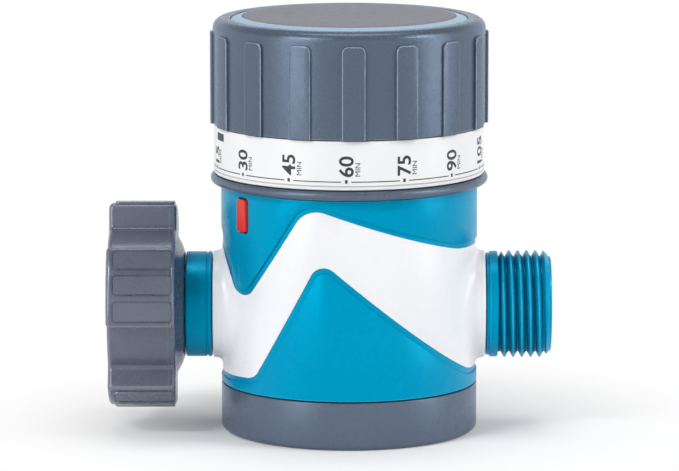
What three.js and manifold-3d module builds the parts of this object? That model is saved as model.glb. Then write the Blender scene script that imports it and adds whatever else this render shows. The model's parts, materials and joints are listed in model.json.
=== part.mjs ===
// Mechanical drip irrigation timer: a round tap timer with a wind-up dial, a through water pipe,
// a cam-worked valve and a swivel hose nut. Millimetres, +Z up, origin at the centre of the base.
import * as THREE from "three";
import { mergeVertices } from "three/addons/utils/BufferGeometryUtils.js";
import Module from "manifold-3d";

const wasm = await Module();
wasm.setup();

// ---------------------------------------------------------------- driving dimensions

const GAP = 0.3; // clearance between pieces that rest on each other
const RUN = 0.3; // running clearance round shafts and moving rims
const ROUND = 40; // sides of the casing's round pieces
const TUBE = 20; // sides of the water pipe and its fittings
const SMALL = 14; // sides of valve and clockwork pieces
const FINE = 8; // sides of screws and spindles
const PI = Math.PI;
const deg = (angle) => (angle * PI) / 180;

// Round casing, from the floor up.
const BODY_R = 32.2; // outside radius of base cap and housing
const BODY_WALL = 2.8;
const BASE_H = 12.0; // height of the base cap
const BASE_FLOOR = 2.4;
const BASE_EDGE = 1.4; // rounding of the bottom edge
const SPIGOT_H = 3.5; // how far the cap's spigot stands up inside the housing
const SPIGOT_WALL = 2.0;
const HOUSING_ABOVE_PIPE = 31.1; // from the pipe axis to the top of the housing
const FLANGE_PROUD = 2.6; // how far the flange stands out past the housing
const FLANGE_H = 2.3;
const DIAL_PROUD = 1.7;
const DIAL_H = 12.1;
const DIAL_WALL = 2.5;
const DIAL_LEDGE = 4.4; // width of the ledge that carries the knob
const DIAL_LEDGE_T = 2.2;
const KNOB_PROUD = 2.0;
const KNOB_H = 26.4;
const KNOB_WALL = 2.2;
const KNOB_FILLET = 2.0;
const RIB_COUNT = 16;
const RIB_RISE = 0.7;
const RIB_WIDTH = 9.45; // degrees
const RIB_OFFSET = 3; // degrees from the front towards the outlet
const RIB_SHORT = 3.4; // distance from the rib tops to the top of the knob
const ACCENT_INSET = 4.7; // from the knob's side to the accent ring
const ACCENT_W = 2.5;
const DISC_RISE = 0.5; // how far the disc and ring stand above the knob
const DISC_SEAT = 1.6; // depth of their recess below the top face

// Water way.
const PIPE_CLEARANCE = 2.6; // between the cap's spigot and the underside of the pipe
const BORE_R = 9.5;
const NECK_WALL = 1.8; // pipe under the split collars
const COLLAR_T = 2.2;
const COLLAR_LENGTH = 2.0; // how far the collars stand out past the barrel
const PIPE_STEP = 0.2; // the inlet pipe is this much smaller than the collars
const OUTLET_RING_STEP = 0.15;
const OUTLET_RING_LENGTH = 3.5;
const OUTLET_LENGTH = 13.1; // threaded end, past its ring
const THREAD_WALL = 2.55; // from the outlet bore to the thread root
const THREAD_DEPTH = 1.4; // 3/4-11.5 hose thread
const THREAD_PITCH = 2.209;
const INLET_LENGTH = 6.8; // full-size inlet pipe past the collars
const INLET_BORE_R = 8.4;
const INLET_WALL = 2.2; // wall of the inlet neck
const INLET_NECK_LENGTH = 6.6;

// Swivel nut.
const NUT_R = 26.0; // over the grip pads
const NUT_PAD = 0.5;
const NUT_LENGTH = 17.6; // along the lobes
const NUT_SET_BACK = 2.4; // from the pipe's shoulder to the back of the lobes
const NUT_HUB_R = 13.4;
const NUT_VALLEY_R = 19.6;
const NUT_LOBES = 4;
const NUT_LOBE_HALF = 24; // degrees
const NUT_TURN = 20; // degrees of the first lobe above the horizontal front
const NUT_WALL = 2.8; // rear wall, held by the clip
const NUT_THREAD_PLAY = 0.3; // from the hose thread to the nut's bore
const NUT_THREAD_DEPTH = 1.15;
const PAD_PITCH = 14.8; // degrees
const PAD_WIDTH = 11; // degrees
const PAD_LENGTH = 15.4;
const CLIP_W = 0.8;
const CLIP_DEPTH = 0.9; // of the clip's groove in the inlet neck
const CLIP_PLAY = 0.15;
const WASHER_T = 3.0;

// Side bands.
const BAND_RECESS = 0.35;
const BAND_T = 1.2;

// Pointer on the front of the housing.
const POINTER_ANGLE = -55; // degrees from the front towards the outlet
const POINTER_HALF = 4.6; // degrees
const POINTER_H = 8.9;
const POINTER_DROP = 1.3; // from the top of the housing to the pointer
const POINTER_RISE = 0.7;
const POINTER_T = 2.0;

// Valve.
const STROKE_PER_DEG = 0.025; // lift for each degree of dial
const DIAL_OFF = 45; // dial joint at OFF, degrees
const DIAL_FULL = -155; // dial joint at the longest time
const CHAMBER_R = 8.6;
const CHAMBER_WALL = 5.9;
const CHAMBER_ABOVE = 11.1; // from the pipe axis to the bonnet's seat
const CHAMBER_BELOW = 18.9; // from the pipe axis to the plug's seat
const PARTITION_T = 2.2;
const PARTITION_DROP = 1.2; // underside of the partition below the pipe axis
const PARTITION_REACH = 10.5;
const SEAT_R = 4.6;
const SEAT_T = 1.5;
const SEAT_WALL = 1.5;
const STEM_R = 2.2;
const TAIL_R = 1.2; // end of the stem that holds the disc
const DISC_SEAL_R = 7.2;
const DISC_SEAL_T = 2.0;
const DISC_NUT_T = 1.8;
const PLUG_HEAD = 1.8; // how far the plug reaches into the chamber
const PLUG_FLANGE_W = 3.4;
const PLUG_FLANGE_T = 2.2;
const BONNET_FLANGE_W = 4.4;
const BONNET_T = 2.2;
const BONNET_SCREW_R = 0.9;
const BONNET_SCREW_HEAD_R = 2.0;
const BONNET_SCREW_INSET = 2.6;
const BONNET_SCREW_DEPTH = 4.0; // of the thread in the housing, clear of the water way
const BONNET_SCREW_ANGLES = [55, 235]; // between the water way and the finger's guides
const FINGER_W = 1.6;
const FINGER_T = 2.0;
const FINGER_ANGLE = 90; // degrees, towards the back
const SPRING_WIRE = 0.9;
const SPRING_R = 5.0;
const SPRING_TURNS = 4.5;

// Clockwork.
const ARBOR_R = 2.5;
const ARBOR_FLAT = 2.0; // distance of the flat from the axis
const CAM_R = 10.2;
const CAM_FACE_W = 4.2; // width of the ramp
const CAM_PLATE_T = 1.6;
const CAM_DROP = 3.0; // from the lower plate to the underside of the cam's disc
const CAM_OVERRUN = 22; // degrees of ramp past each end of the travel
const CAM_GAP = 0.4;
const CAM_REACH = 2.4; // how far the finger runs past the rim of the cam
const PLATE_INSET = 5.4; // from the housing's inside to the movement plates
const PLATE_T = 1.2;
const PLATE_DROP = 6.5; // from the top of the housing to the lower plate
const PLATE_SPACE = 14.0; // from one plate to the other
const MODULE = 0.5;
const TRAIN_ANGLE = -60; // degrees, place of the second wheel
const TEETH = { main: 48, pinion2: 10, wheel2: 32, pinion3: 8, wheel3: 32, pinion4: 8, escape: 15 };
const WHEEL_T = 1.2;
const LEVEL_STEP = 1.8;
const PIVOT_R = 0.8;
const ESCAPE_R = 6.0;
const PALLET_DISTANCE = 8.0;
const MAINSPRING_INNER = 0.45; // from the arbor to the first turn
const MAINSPRING_W = 9.75; // from the first turn to the last
const MAINSPRING_TURNS = 5;
const MAINSPRING_T = 0.45;
const MAINSPRING_H = 4.0;
const PILLAR_R = 1.6;
const SPRING_PILLAR_ANGLE = 180; // the pillar that holds the end of the mainspring
const EDGE_PILLAR_ANGLES = [80, -118];
const EDGE_PILLAR_INSET = 3; // from the edge of the plates

// Fasteners.
const SCREW_R = 1.5;
const SCREW_HEAD_R = 2.9;
const SCREW_HEAD_T = 1.6;
const SCREW_SLOT_W = 0.8;
const SCREW_SLOT_DEPTH = 0.6;
const BOSS_WALL = 2.5; // material round a base screw
const BASE_SCREW_INSET = 3.8; // from the housing's inside to the screw
const BASE_SCREW_LENGTH = 12.0; // above the base cap
const BASE_SCREW_ANGLES = [90, 210, 330];
const BEZEL_BOSS_WALL = 1.2;
const BEZEL_SCREW_INSET = 2.4;
const BEZEL_SCREW_LENGTH = 9.0; // below the top of the housing
const BEZEL_SCREW_ANGLES = [30, 150, 270];
const BORE_SPARE = 1.5; // a blind hole runs this far past the tip of its screw
const BOSS_SPARE = 4.0; // and its boss this far
const KNOB_SCREW_R = 1.2;
const KNOB_SCREW_LENGTH = 5.0; // of its thread in the arbor
const ARBOR_DROP = 9.0; // from the top of the knob to the top of the arbor

// ---------------------------------------------------------------- derived heights

const INNER_R = BODY_R - BODY_WALL;
const SPIGOT_R = INNER_R - GAP;
const SPIGOT_TOP = BASE_H + SPIGOT_H;
const FLANGE_R = BODY_R + FLANGE_PROUD;
const DIAL_R = BODY_R + DIAL_PROUD;
const KNOB_R = BODY_R + KNOB_PROUD;
const ACCENT_R = KNOB_R - ACCENT_INSET;
const DISC_R = ACCENT_R - ACCENT_W - GAP;
const NECK_R = BORE_R + NECK_WALL;
const COLLAR_R = NECK_R + COLLAR_T;
const PIPE_R = COLLAR_R - PIPE_STEP;
const PIPE_Z = SPIGOT_TOP + PIPE_CLEARANCE + PIPE_R; // height of the pipe axis
const HOUSING_TOP = PIPE_Z + HOUSING_ABOVE_PIPE;
const COLLAR_END = BODY_R + COLLAR_LENGTH;
const OUTLET_RING_R = COLLAR_R - OUTLET_RING_STEP;
const OUTLET_RING_END = COLLAR_END + OUTLET_RING_LENGTH;
const OUTLET_END = OUTLET_RING_END + OUTLET_LENGTH;
const THREAD_ROOT_R = BORE_R + THREAD_WALL;
const THREAD_MAJOR_R = THREAD_ROOT_R + THREAD_DEPTH;
const INLET_SHOULDER = COLLAR_END + INLET_LENGTH;
const INLET_NECK_R = INLET_BORE_R + INLET_WALL;
const INLET_END = INLET_SHOULDER + INLET_NECK_LENGTH;
const NUT_BACK = INLET_SHOULDER + NUT_SET_BACK;
const NUT_FRONT = NUT_BACK + NUT_LENGTH;
const NUT_BORE_R = THREAD_MAJOR_R + NUT_THREAD_PLAY;
const NUT_CREST_R = NUT_BORE_R - NUT_THREAD_DEPTH;
const PLATE_R = INNER_R - PLATE_INSET;
const BASE_SCREW_CIRCLE = INNER_R - BASE_SCREW_INSET;
const BEZEL_SCREW_CIRCLE = INNER_R - BEZEL_SCREW_INSET;
const BOSS_R = SCREW_R + BOSS_WALL;
const BEZEL_BOSS_R = SCREW_R + BEZEL_BOSS_WALL;

const HOUSING_BOTTOM = BASE_H + GAP;
const FLANGE_Z = HOUSING_TOP + GAP;
const FLANGE_TOP = FLANGE_Z + FLANGE_H;
const DIAL_Z = FLANGE_TOP + RUN;
const DIAL_TOP = DIAL_Z + DIAL_H;
const KNOB_Z = DIAL_TOP + GAP;
const KNOB_TOP = KNOB_Z + KNOB_H;
const TOP_FACE = KNOB_TOP + DISC_RISE;
const RECESS_FLOOR = TOP_FACE - DISC_SEAT;
const ARBOR_TOP = KNOB_TOP - ARBOR_DROP;
const BAND_R = BODY_R - BAND_RECESS;
const BAND_FLOOR_R = BAND_R - BAND_T - GAP / 2;
const POINTER_TOP = HOUSING_TOP - POINTER_DROP;
const CHAMBER_BOSS_R = CHAMBER_R + CHAMBER_WALL;
const CHAMBER_TOP = PIPE_Z + CHAMBER_ABOVE;
const CHAMBER_BOTTOM = PIPE_Z - CHAMBER_BELOW;
const PLUG_TOP = CHAMBER_BOTTOM + PLUG_HEAD;
const BONNET_R = CHAMBER_R + BONNET_FLANGE_W;
const PARTITION = [PIPE_Z - PARTITION_DROP, PIPE_Z - PARTITION_DROP + PARTITION_T];
const SEAT_BOTTOM = PARTITION[0] - SEAT_T;
const DISC_TOP = SEAT_BOTTOM - GAP - DIAL_OFF * STROKE_PER_DEG;
const DISC_BOTTOM = DISC_TOP - DISC_SEAL_T - DISC_NUT_T;
const BONNET_TOP = CHAMBER_TOP + GAP + BONNET_T;
const FINGER_LOW = BONNET_TOP + GAP - DIAL_FULL * STROKE_PER_DEG; // underside at rest
const FINGER_TOP = FINGER_LOW + FINGER_T;
const FINGER_REACH = CAM_R + CAM_REACH;
const LOWER_PLATE_Z = HOUSING_TOP - PLATE_DROP;
const UPPER_PLATE_Z = LOWER_PLATE_Z + PLATE_SPACE;
const GEAR_Z = LOWER_PLATE_Z + PLATE_T + 2 * GAP;
const CAM_PLATE = [LOWER_PLATE_Z - CAM_DROP, LOWER_PLATE_Z - CAM_DROP + CAM_PLATE_T];
const CAM_INNER_R = CAM_R - CAM_FACE_W;
const MAINSPRING_R = [ARBOR_R + MAINSPRING_INNER, ARBOR_R + MAINSPRING_INNER + MAINSPRING_W];
const PILLARS = [ // radius and angle of each
  [MAINSPRING_R[1] + MAINSPRING_T + 0.25 + PILLAR_R, SPRING_PILLAR_ANGLE],
  ...EDGE_PILLAR_ANGLES.map((angle) => [PLATE_R - EDGE_PILLAR_INSET, angle]),
];

// ---------------------------------------------------------------- solids

// A closed three.js geometry as a manifold solid, turned outwards.
function solid(geometry) {
  const bare = geometry.index ? geometry.toNonIndexed() : geometry.clone();
  bare.deleteAttribute("normal");
  bare.deleteAttribute("uv");
  const merged = mergeVertices(bare, 1e-4);
  const index = merged.index.array;
  const position = merged.attributes.position;
  const corner = (i) => new THREE.Vector3().fromBufferAttribute(position, i);
  const faces = [];
  let volume = 0;
  for (let i = 0; i < index.length; i += 3) {
    const [a, b, c] = [index[i], index[i + 1], index[i + 2]];
    if (a === b || b === c || c === a) continue;
    faces.push([a, b, c]);
    volume += corner(a).dot(corner(b).cross(corner(c)));
  }
  const outwards = faces.flatMap(([a, b, c]) => (volume < 0 ? [a, c, b] : [a, b, c]));
  const triVerts = new Uint32Array(outwards);
  return new wasm.Manifold(new wasm.Mesh({ numProp: 3, vertProperties: position.array, triVerts }));
}

const join = (...parts) => parts.reduce((sum, part) => sum.add(part));
const cut = (from, ...tools) => tools.reduce((rest, tool) => rest.subtract(tool), from);

// Axes of revolution and extrusion, as matrices that take +Z there.
const UPRIGHT = new THREE.Matrix4();
const at = (x, y, z = 0) => new THREE.Matrix4().makeTranslation(x, y, z);
const ALONG_PIPE = at(0, 0, PIPE_Z).multiply(new THREE.Matrix4().makeRotationY(PI / 2));
const polar = (radius, angle) => [radius * Math.cos(deg(angle)), radius * Math.sin(deg(angle))];

// A turned piece from a closed profile of [radius, height] pairs.
function turned(profile, sides = TUBE, place = UPRIGHT) {
  const points = [...profile, profile[0]].map(([r, z]) => new THREE.Vector2(r, z));
  const geometry = new THREE.LatheGeometry(points, sides);
  return solid(geometry.rotateX(PI / 2).applyMatrix4(place));
}

const rod = (r, low, high, sides = TUBE, place = UPRIGHT) =>
  turned([[0, low], [r, low], [r, high], [0, high]], sides, place);
const ring = (inner, outer, low, high, sides = TUBE, place = UPRIGHT) =>
  turned([[inner, low], [outer, low], [outer, high], [inner, high]], sides, place);

// A seal ring, its round section drawn as a lozenge.
const sealRing = (radius, section, height, sides = SMALL) => turned([
  [radius + section, height], [radius, height + section],
  [radius - section, height], [radius, height - section],
], sides);

function block(low, high, place = UPRIGHT) {
  const size = high.map((v, i) => v - low[i]);
  const geometry = new THREE.BoxGeometry(...size).translate(...low.map((v, i) => v + size[i] / 2));
  return solid(geometry.applyMatrix4(place));
}

function plate(points, low, high, place = UPRIGHT) {
  const shape = new THREE.Shape(points.map(([x, y]) => new THREE.Vector2(x, y)));
  const geometry = new THREE.ExtrudeGeometry(shape, { depth: high - low, bevelEnabled: false });
  return solid(geometry.translate(0, 0, low).applyMatrix4(place));
}

// Rings of points joined into a closed skin with flat ends.
function skinned(rings) {
  const sides = rings[0].length;
  const vertices = rings.flat(2);
  const index = [];
  for (let i = 0; i + 1 < rings.length; i++) {
    for (let j = 0; j < sides; j++) {
      const k = (j + 1) % sides;
      const [a, b, c, d] = [i * sides + j, i * sides + k, (i + 1) * sides + k, (i + 1) * sides + j];
      index.push(a, b, c, a, c, d);
    }
  }
  const last = (rings.length - 1) * sides;
  for (let j = 1; j + 1 < sides; j++) {
    index.push(0, j + 1, j, last, last + j, last + j + 1);
  }
  const geometry = new THREE.BufferGeometry();
  geometry.setAttribute("position", new THREE.Float32BufferAttribute(vertices, 3));
  geometry.setIndex(index);
  return solid(geometry);
}

// A screw ridge on the pipe axis, from x0 to x1, that rises from base to crest and fades at both ends.
function screwRidge(x0, x1, base, crest, sides = 12) {
  const turns = (x1 - x0) / THREAD_PITCH;
  const steps = Math.round(turns * sides);
  const half = THREAD_PITCH * 0.44;
  const land = THREAD_PITCH * 0.08;
  const rings = [];
  for (let i = 0; i <= steps; i++) {
    const angle = (i / sides) * 2 * PI;
    const x = x0 + (THREAD_PITCH * i) / sides;
    const fade = Math.min(1, 0.15 + (3 * i) / sides, 0.15 + (3 * (steps - i)) / sides);
    const r = base + (crest - base) * fade;
    const buried = base - 0.5 * Math.sign(crest - base);
    const point = (dx, radius) => [x + dx, -radius * Math.cos(angle), PIPE_Z + radius * Math.sin(angle)];
    rings.push([point(-half, buried), point(-land, r), point(land, r), point(half, buried)]);
  }
  return skinned(rings);
}

// A countersunk or pan screw standing head down at the place given, with its tip at the far end.
function screw(x, y, headZ, tipZ) {
  const up = Math.sign(tipZ - headZ);
  const under = headZ + up * SCREW_HEAD_T;
  const head = rod(SCREW_HEAD_R, Math.min(headZ, under), Math.max(headZ, under), FINE, at(x, y));
  const shank = rod(SCREW_R, Math.min(headZ, tipZ), Math.max(headZ, tipZ), FINE, at(x, y));
  const slot = block([-SCREW_HEAD_R, -SCREW_SLOT_W / 2, headZ - SCREW_SLOT_DEPTH],
    [SCREW_HEAD_R, SCREW_SLOT_W / 2, headZ + SCREW_SLOT_DEPTH], at(x, y));
  return cut(join(head, shank), slot);
}

// A flat-sided shaft, or with a clearance the hole for it.
function flatShaft(low, high, clearance = 0) {
  const r = ARBOR_R + clearance;
  const flat = ARBOR_FLAT + clearance;
  return cut(rod(r, low, high, SMALL), block([-r - 1, flat, low - 1], [r + 1, r + 1, high + 1]));
}

// ---------------------------------------------------------------- the band outline

// Corners of the white side band in front view: x, z, rounding. Both ends run out past the collars.
const BAND_REACH = BODY_R + 7.8;
const BAND_CORNERS = [
  [-BAND_REACH, PIPE_Z - 17.3, 0],
  [8.6 - BODY_R, PIPE_Z - 15.2, 3.5],
  [-7.35, PIPE_Z + 16.2, 3.6],
  [BODY_R - 2, PIPE_Z - 14.8, 4],
  [BAND_REACH, PIPE_Z - 15.2, 0],
  [BAND_REACH, PIPE_Z + 15.6, 0],
  [BODY_R - 4.7, PIPE_Z + 16.7, 12],
  [-10.6, HOUSING_TOP - 1.7, 6],
  [5.3 - BODY_R, PIPE_Z + 2.1, 2.6],
  [-BAND_REACH, PIPE_Z + 38.1, 0],
];

// The corners moved outwards by a distance, with their rounding kept concentric.
function grownCorners(corners, distance) {
  const count = corners.length;
  const normal = (a, b) => {
    const length = Math.hypot(b[0] - a[0], b[1] - a[1]);
    return [(b[1] - a[1]) / length, -(b[0] - a[0]) / length];
  };
  return corners.map(([x, z, r], i) => {
    const before = corners[(i + count - 1) % count];
    const after = corners[(i + 1) % count];
    const n1 = normal(before, [x, z]);
    const n2 = normal([x, z], after);
    const scale = distance / (1 + n1[0] * n2[0] + n1[1] * n2[1]);
    const turn = n1[0] * n2[1] - n1[1] * n2[0];
    const rounding = Math.max(0, r + Math.sign(turn) * distance);
    return [x + (n1[0] + n2[0]) * scale, z + (n1[1] + n2[1]) * scale, rounding];
  });
}

// A closed shape through the corners with true arcs at the rounded ones.
function roundedShape(corners) {
  const shape = new THREE.Shape();
  const count = corners.length;
  corners.forEach(([x, z, r], i) => {
    const p = new THREE.Vector2(x, z);
    const towards = (q) => new THREE.Vector2(q[0], q[1]).sub(p).normalize();
    const u = towards(corners[(i + count - 1) % count]);
    const v = towards(corners[(i + 1) % count]);
    const half = Math.acos(u.dot(v)) / 2;
    const start = p.clone().addScaledVector(u, r / Math.tan(half));
    if (i === 0) shape.moveTo(start.x, start.y);
    else shape.lineTo(start.x, start.y);
    if (r === 0) return;
    const centre = p.clone().add(u.clone().add(v).normalize().multiplyScalar(r / Math.sin(half)));
    const end = p.clone().addScaledVector(v, r / Math.tan(half));
    const a0 = Math.atan2(start.y - centre.y, start.x - centre.x);
    const a1 = Math.atan2(end.y - centre.y, end.x - centre.x);
    shape.absarc(centre.x, centre.y, r, a0, a1, u.cross(v) > 0);
  });
  return shape;
}

// The band outline as a block that runs from the barrel axis to the front (side -1) or back (side 1).
function bandBlock(side, grow, split) {
  const shape = roundedShape(grownCorners(BAND_CORNERS, grow));
  const depth = BAND_REACH - split;
  const geometry = new THREE.ExtrudeGeometry(shape, { depth, bevelEnabled: false, curveSegments: 6 });
  geometry.rotateX(PI / 2).translate(0, -split, 0).scale(1, -side, 1);
  return solid(geometry);
}

// ---------------------------------------------------------------- casing

function sector(inner, outer, centreDeg, halfDeg, low, high, steps = 3) {
  const points = [];
  for (let i = 0; i <= steps; i++) {
    points.push(polar(outer, centreDeg - halfDeg + (2 * halfDeg * i) / steps));
  }
  for (let i = steps; i >= 0; i--) {
    points.push(polar(inner, centreDeg - halfDeg + (2 * halfDeg * i) / steps));
  }
  return plate(points, low, high);
}

const frontAngle = (angle) => angle - 90; // from the front towards the outlet, as a polar angle

function baseCap() {
  const lip = INNER_R + 0.4;
  const shell = turned([
    [0, 0], [BODY_R - BASE_EDGE, 0], [BODY_R - 0.4 * BASE_EDGE, 0.35 * BASE_EDGE], [BODY_R, BASE_EDGE],
    [BODY_R, BASE_H], [SPIGOT_R, BASE_H], [SPIGOT_R, SPIGOT_TOP], [SPIGOT_R - SPIGOT_WALL, SPIGOT_TOP],
    [SPIGOT_R - SPIGOT_WALL, BASE_H - 3], [lip, BASE_H - 4], [lip, BASE_FLOOR], [0, BASE_FLOOR],
  ], ROUND);
  const groove = ring(SPIGOT_R - 1.1, SPIGOT_R + 1, BASE_H + 1, BASE_H + 2.6, ROUND);
  const inside = rod(SPIGOT_R, 0, SPIGOT_TOP + 1, ROUND);
  const posts = BASE_SCREW_ANGLES.map((a) => {
    const [x, y] = polar(BASE_SCREW_CIRCLE, a);
    return rod(BOSS_R, BASE_FLOOR - 0.5, SPIGOT_TOP, FINE, at(x, y)).intersect(inside);
  });
  const holes = BASE_SCREW_ANGLES.flatMap((a) => {
    const [x, y] = polar(BASE_SCREW_CIRCLE, a);
    return [
      rod(SCREW_R + GAP, -1, BASE_H + 5, FINE, at(x, y)),
      rod(SCREW_HEAD_R + GAP, -1, BASE_FLOOR + 0.2, FINE, at(x, y)),
    ];
  });
  return cut(join(shell, ...posts), groove, ...holes);
}

const baseGasket = () => sealRing(SPIGOT_R - 0.35, 0.55, BASE_H + 1.8, ROUND);

// Barrel, pipe and globe chamber in one moulding: they are joined before the water way is cut.
function housing() {
  const barrel = ring(INNER_R, BODY_R, HOUSING_BOTTOM, HOUSING_TOP, ROUND);
  const runInside = rod(PIPE_R, -INNER_R - 0.6, INNER_R + 0.6, TUBE, ALONG_PIPE)
    .intersect(rod(INNER_R + 0.6, 0, HOUSING_TOP, ROUND));
  const root = INNER_R - 1; // both ends of the pipe grow from the barrel's wall
  const outlet = turned([
    [0, root], [NECK_R, root], [NECK_R, COLLAR_END + GAP], [OUTLET_RING_R - 0.45, COLLAR_END + GAP],
    [OUTLET_RING_R - 0.45, COLLAR_END + 1.1], [OUTLET_RING_R, COLLAR_END + 1.3],
    [OUTLET_RING_R, OUTLET_RING_END], [THREAD_ROOT_R, OUTLET_RING_END + 0.3],
    [THREAD_ROOT_R, OUTLET_END - 0.5], [THREAD_ROOT_R - 0.5, OUTLET_END], [0, OUTLET_END],
  ], TUBE, ALONG_PIPE);
  const thread = screwRidge(OUTLET_RING_END + 1.3, OUTLET_END - 1.2, THREAD_ROOT_R, THREAD_MAJOR_R);
  const inlet = turned([
    [0, -root], [NECK_R, -root], [NECK_R, -COLLAR_END - GAP], [PIPE_R, -COLLAR_END - GAP],
    [PIPE_R, -INLET_SHOULDER], [INLET_NECK_R, -INLET_SHOULDER], [INLET_NECK_R, clipX(0)],
    [INLET_NECK_R - CLIP_DEPTH, clipX(0)], [INLET_NECK_R - CLIP_DEPTH, clipX(1)], [INLET_NECK_R, clipX(1)],
    [INLET_NECK_R, -INLET_END], [0, -INLET_END],
  ], TUBE, ALONG_PIPE);
  const chamber = rod(CHAMBER_BOSS_R, CHAMBER_BOTTOM, CHAMBER_TOP, TUBE);
  const bonnetRoom = rod(BONNET_R + 0.6, CHAMBER_TOP, CHAMBER_TOP + 8, TUBE);
  const pockets = [-1, 1].map((side) =>
    bandBlock(side, GAP / 2, -0.5).intersect(ring(BAND_FLOOR_R, BODY_R + 20, 0, HOUSING_TOP + 9, ROUND)));
  const collarRoom = cut(rod(COLLAR_R + GAP, -COLLAR_END, COLLAR_END, TUBE, ALONG_PIPE),
    rod(BAND_FLOOR_R, 0, HOUSING_TOP + 9, ROUND));
  const pointerPocket = pointerShape(GAP / 2).intersect(ring(BODY_R - POINTER_T, BODY_R + 9, 0, 90, ROUND));
  const body = cut(barrel, ...pockets, collarRoom, pointerPocket);
  return cut(join(body, cut(join(runInside, chamber), bonnetRoom), outlet, thread, inlet, ...housingBosses()),
    ...waterWay(), ...bonnetScrewBores(), ...bossBores());
}

// The two edges of the clip groove in the inlet neck, as places along the pipe.
const clipX = (edge) => -(INLET_SHOULDER + GAP + NUT_WALL + GAP + edge * (CLIP_W + 2 * CLIP_PLAY));

function housingBosses() {
  const inside = rod(BODY_R - 1, 0, HOUSING_TOP, ROUND);
  const base = BASE_SCREW_ANGLES.map((a) => {
    const [x, y] = polar(BASE_SCREW_CIRCLE, a);
    const top = BASE_H + BASE_SCREW_LENGTH + BOSS_SPARE;
    return rod(BOSS_R, SPIGOT_TOP + GAP, top, FINE, at(x, y)).intersect(inside);
  });
  const bezel = BEZEL_SCREW_ANGLES.flatMap((a) => {
    const [x, y] = polar(BEZEL_SCREW_CIRCLE, a);
    const bottom = HOUSING_TOP - BEZEL_SCREW_LENGTH - 7;
    const post = rod(BEZEL_BOSS_R, bottom, HOUSING_TOP, FINE, at(x, y)).intersect(inside);
    const shelfTop = LOWER_PLATE_Z - GAP;
    const shelf = sector(PLATE_R - 2.2, INNER_R + 0.5, a, 6, shelfTop - 2.4, shelfTop);
    return [post, shelf];
  });
  return [...base, ...bezel];
}

function bossBores() {
  const base = BASE_SCREW_ANGLES.map((a) => {
    const [x, y] = polar(BASE_SCREW_CIRCLE, a);
    return rod(SCREW_R + GAP, BASE_H, BASE_H + BASE_SCREW_LENGTH + BORE_SPARE, FINE, at(x, y));
  });
  const bezel = BEZEL_SCREW_ANGLES.map((a) => {
    const [x, y] = polar(BEZEL_SCREW_CIRCLE, a);
    const bottom = HOUSING_TOP - BEZEL_SCREW_LENGTH - 2 * BORE_SPARE;
    return rod(SCREW_R + GAP, bottom, HOUSING_TOP + 1, FINE, at(x, y));
  });
  return [...base, ...bezel];
}

// Inlet bore into the lower chamber, seat, upper chamber and outlet bore.
function waterWay() {
  const inletBore = rod(INLET_BORE_R, -INLET_END - 1, -PARTITION_REACH, TUBE, ALONG_PIPE);
  const outletBore = rod(BORE_R, PARTITION_REACH, OUTLET_END + 1, TUBE, ALONG_PIPE);
  const under = rod(INLET_BORE_R, -PARTITION_REACH - 1, 0, TUBE, ALONG_PIPE)
    .intersect(block([-BODY_R, -BODY_R, 0], [0, BODY_R, PARTITION[0]]));
  const over = rod(BORE_R, 0, PARTITION_REACH + 1, TUBE, ALONG_PIPE)
    .intersect(block([0, -BODY_R, PARTITION[1]], [BODY_R, BODY_R, HOUSING_TOP]));
  const lower = rod(CHAMBER_R, CHAMBER_BOTTOM - 1, PARTITION[0], TUBE);
  const upper = rod(CHAMBER_R, PARTITION[1], CHAMBER_TOP + 1, TUBE);
  const seat = rod(SEAT_R + SEAT_WALL + GAP, PARTITION[0] - 1, PARTITION[1] + 1, SMALL);
  return [inletBore, outletBore, under, over, lower, upper, seat];
}

// One half of the white trim: the side band with its two half collars.
function band(side) {
  const skin = ring(BAND_FLOOR_R + GAP / 2, BAND_R, HOUSING_BOTTOM, HOUSING_TOP, ROUND)
    .intersect(bandBlock(side, -GAP / 2, GAP / 2));
  const collars = ring(NECK_R, COLLAR_R, -COLLAR_END, COLLAR_END, TUBE, ALONG_PIPE);
  const [near, far] = [(side * GAP) / 2, side * COLLAR_END];
  const [low, high] = [Math.min(near, far), Math.max(near, far)];
  const halfSpace = block([-COLLAR_END, low, 0], [COLLAR_END, high, HOUSING_TOP]);
  const outside = rod(BAND_FLOOR_R + GAP / 2, 0, TOP_FACE, ROUND);
  const collar = cut(collars.intersect(halfSpace), outside);
  const neck = rod(NECK_R + GAP, -OUTLET_END, OUTLET_END, TUBE, ALONG_PIPE);
  return cut(join(skin, collar), neck);
}

function pointerShape(grow) {
  const half = deg(POINTER_HALF) * BODY_R + grow;
  const [low, high] = [POINTER_TOP - POINTER_H - grow, POINTER_TOP + grow];
  const r = 1.1 + grow;
  const shape = roundedShape([[-half, low, r], [half, low, r], [half, high, r], [-half, high, r]]);
  const geometry = new THREE.ExtrudeGeometry(shape, { depth: 12, bevelEnabled: false, curveSegments: 4 });
  geometry.rotateX(PI / 2).translate(0, -BODY_R + 6, 0).rotateZ(deg(POINTER_ANGLE));
  return solid(geometry);
}

const pointer = () =>
  pointerShape(0).intersect(ring(BODY_R - POINTER_T + GAP, BODY_R + POINTER_RISE, 0, TOP_FACE, 90));

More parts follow.
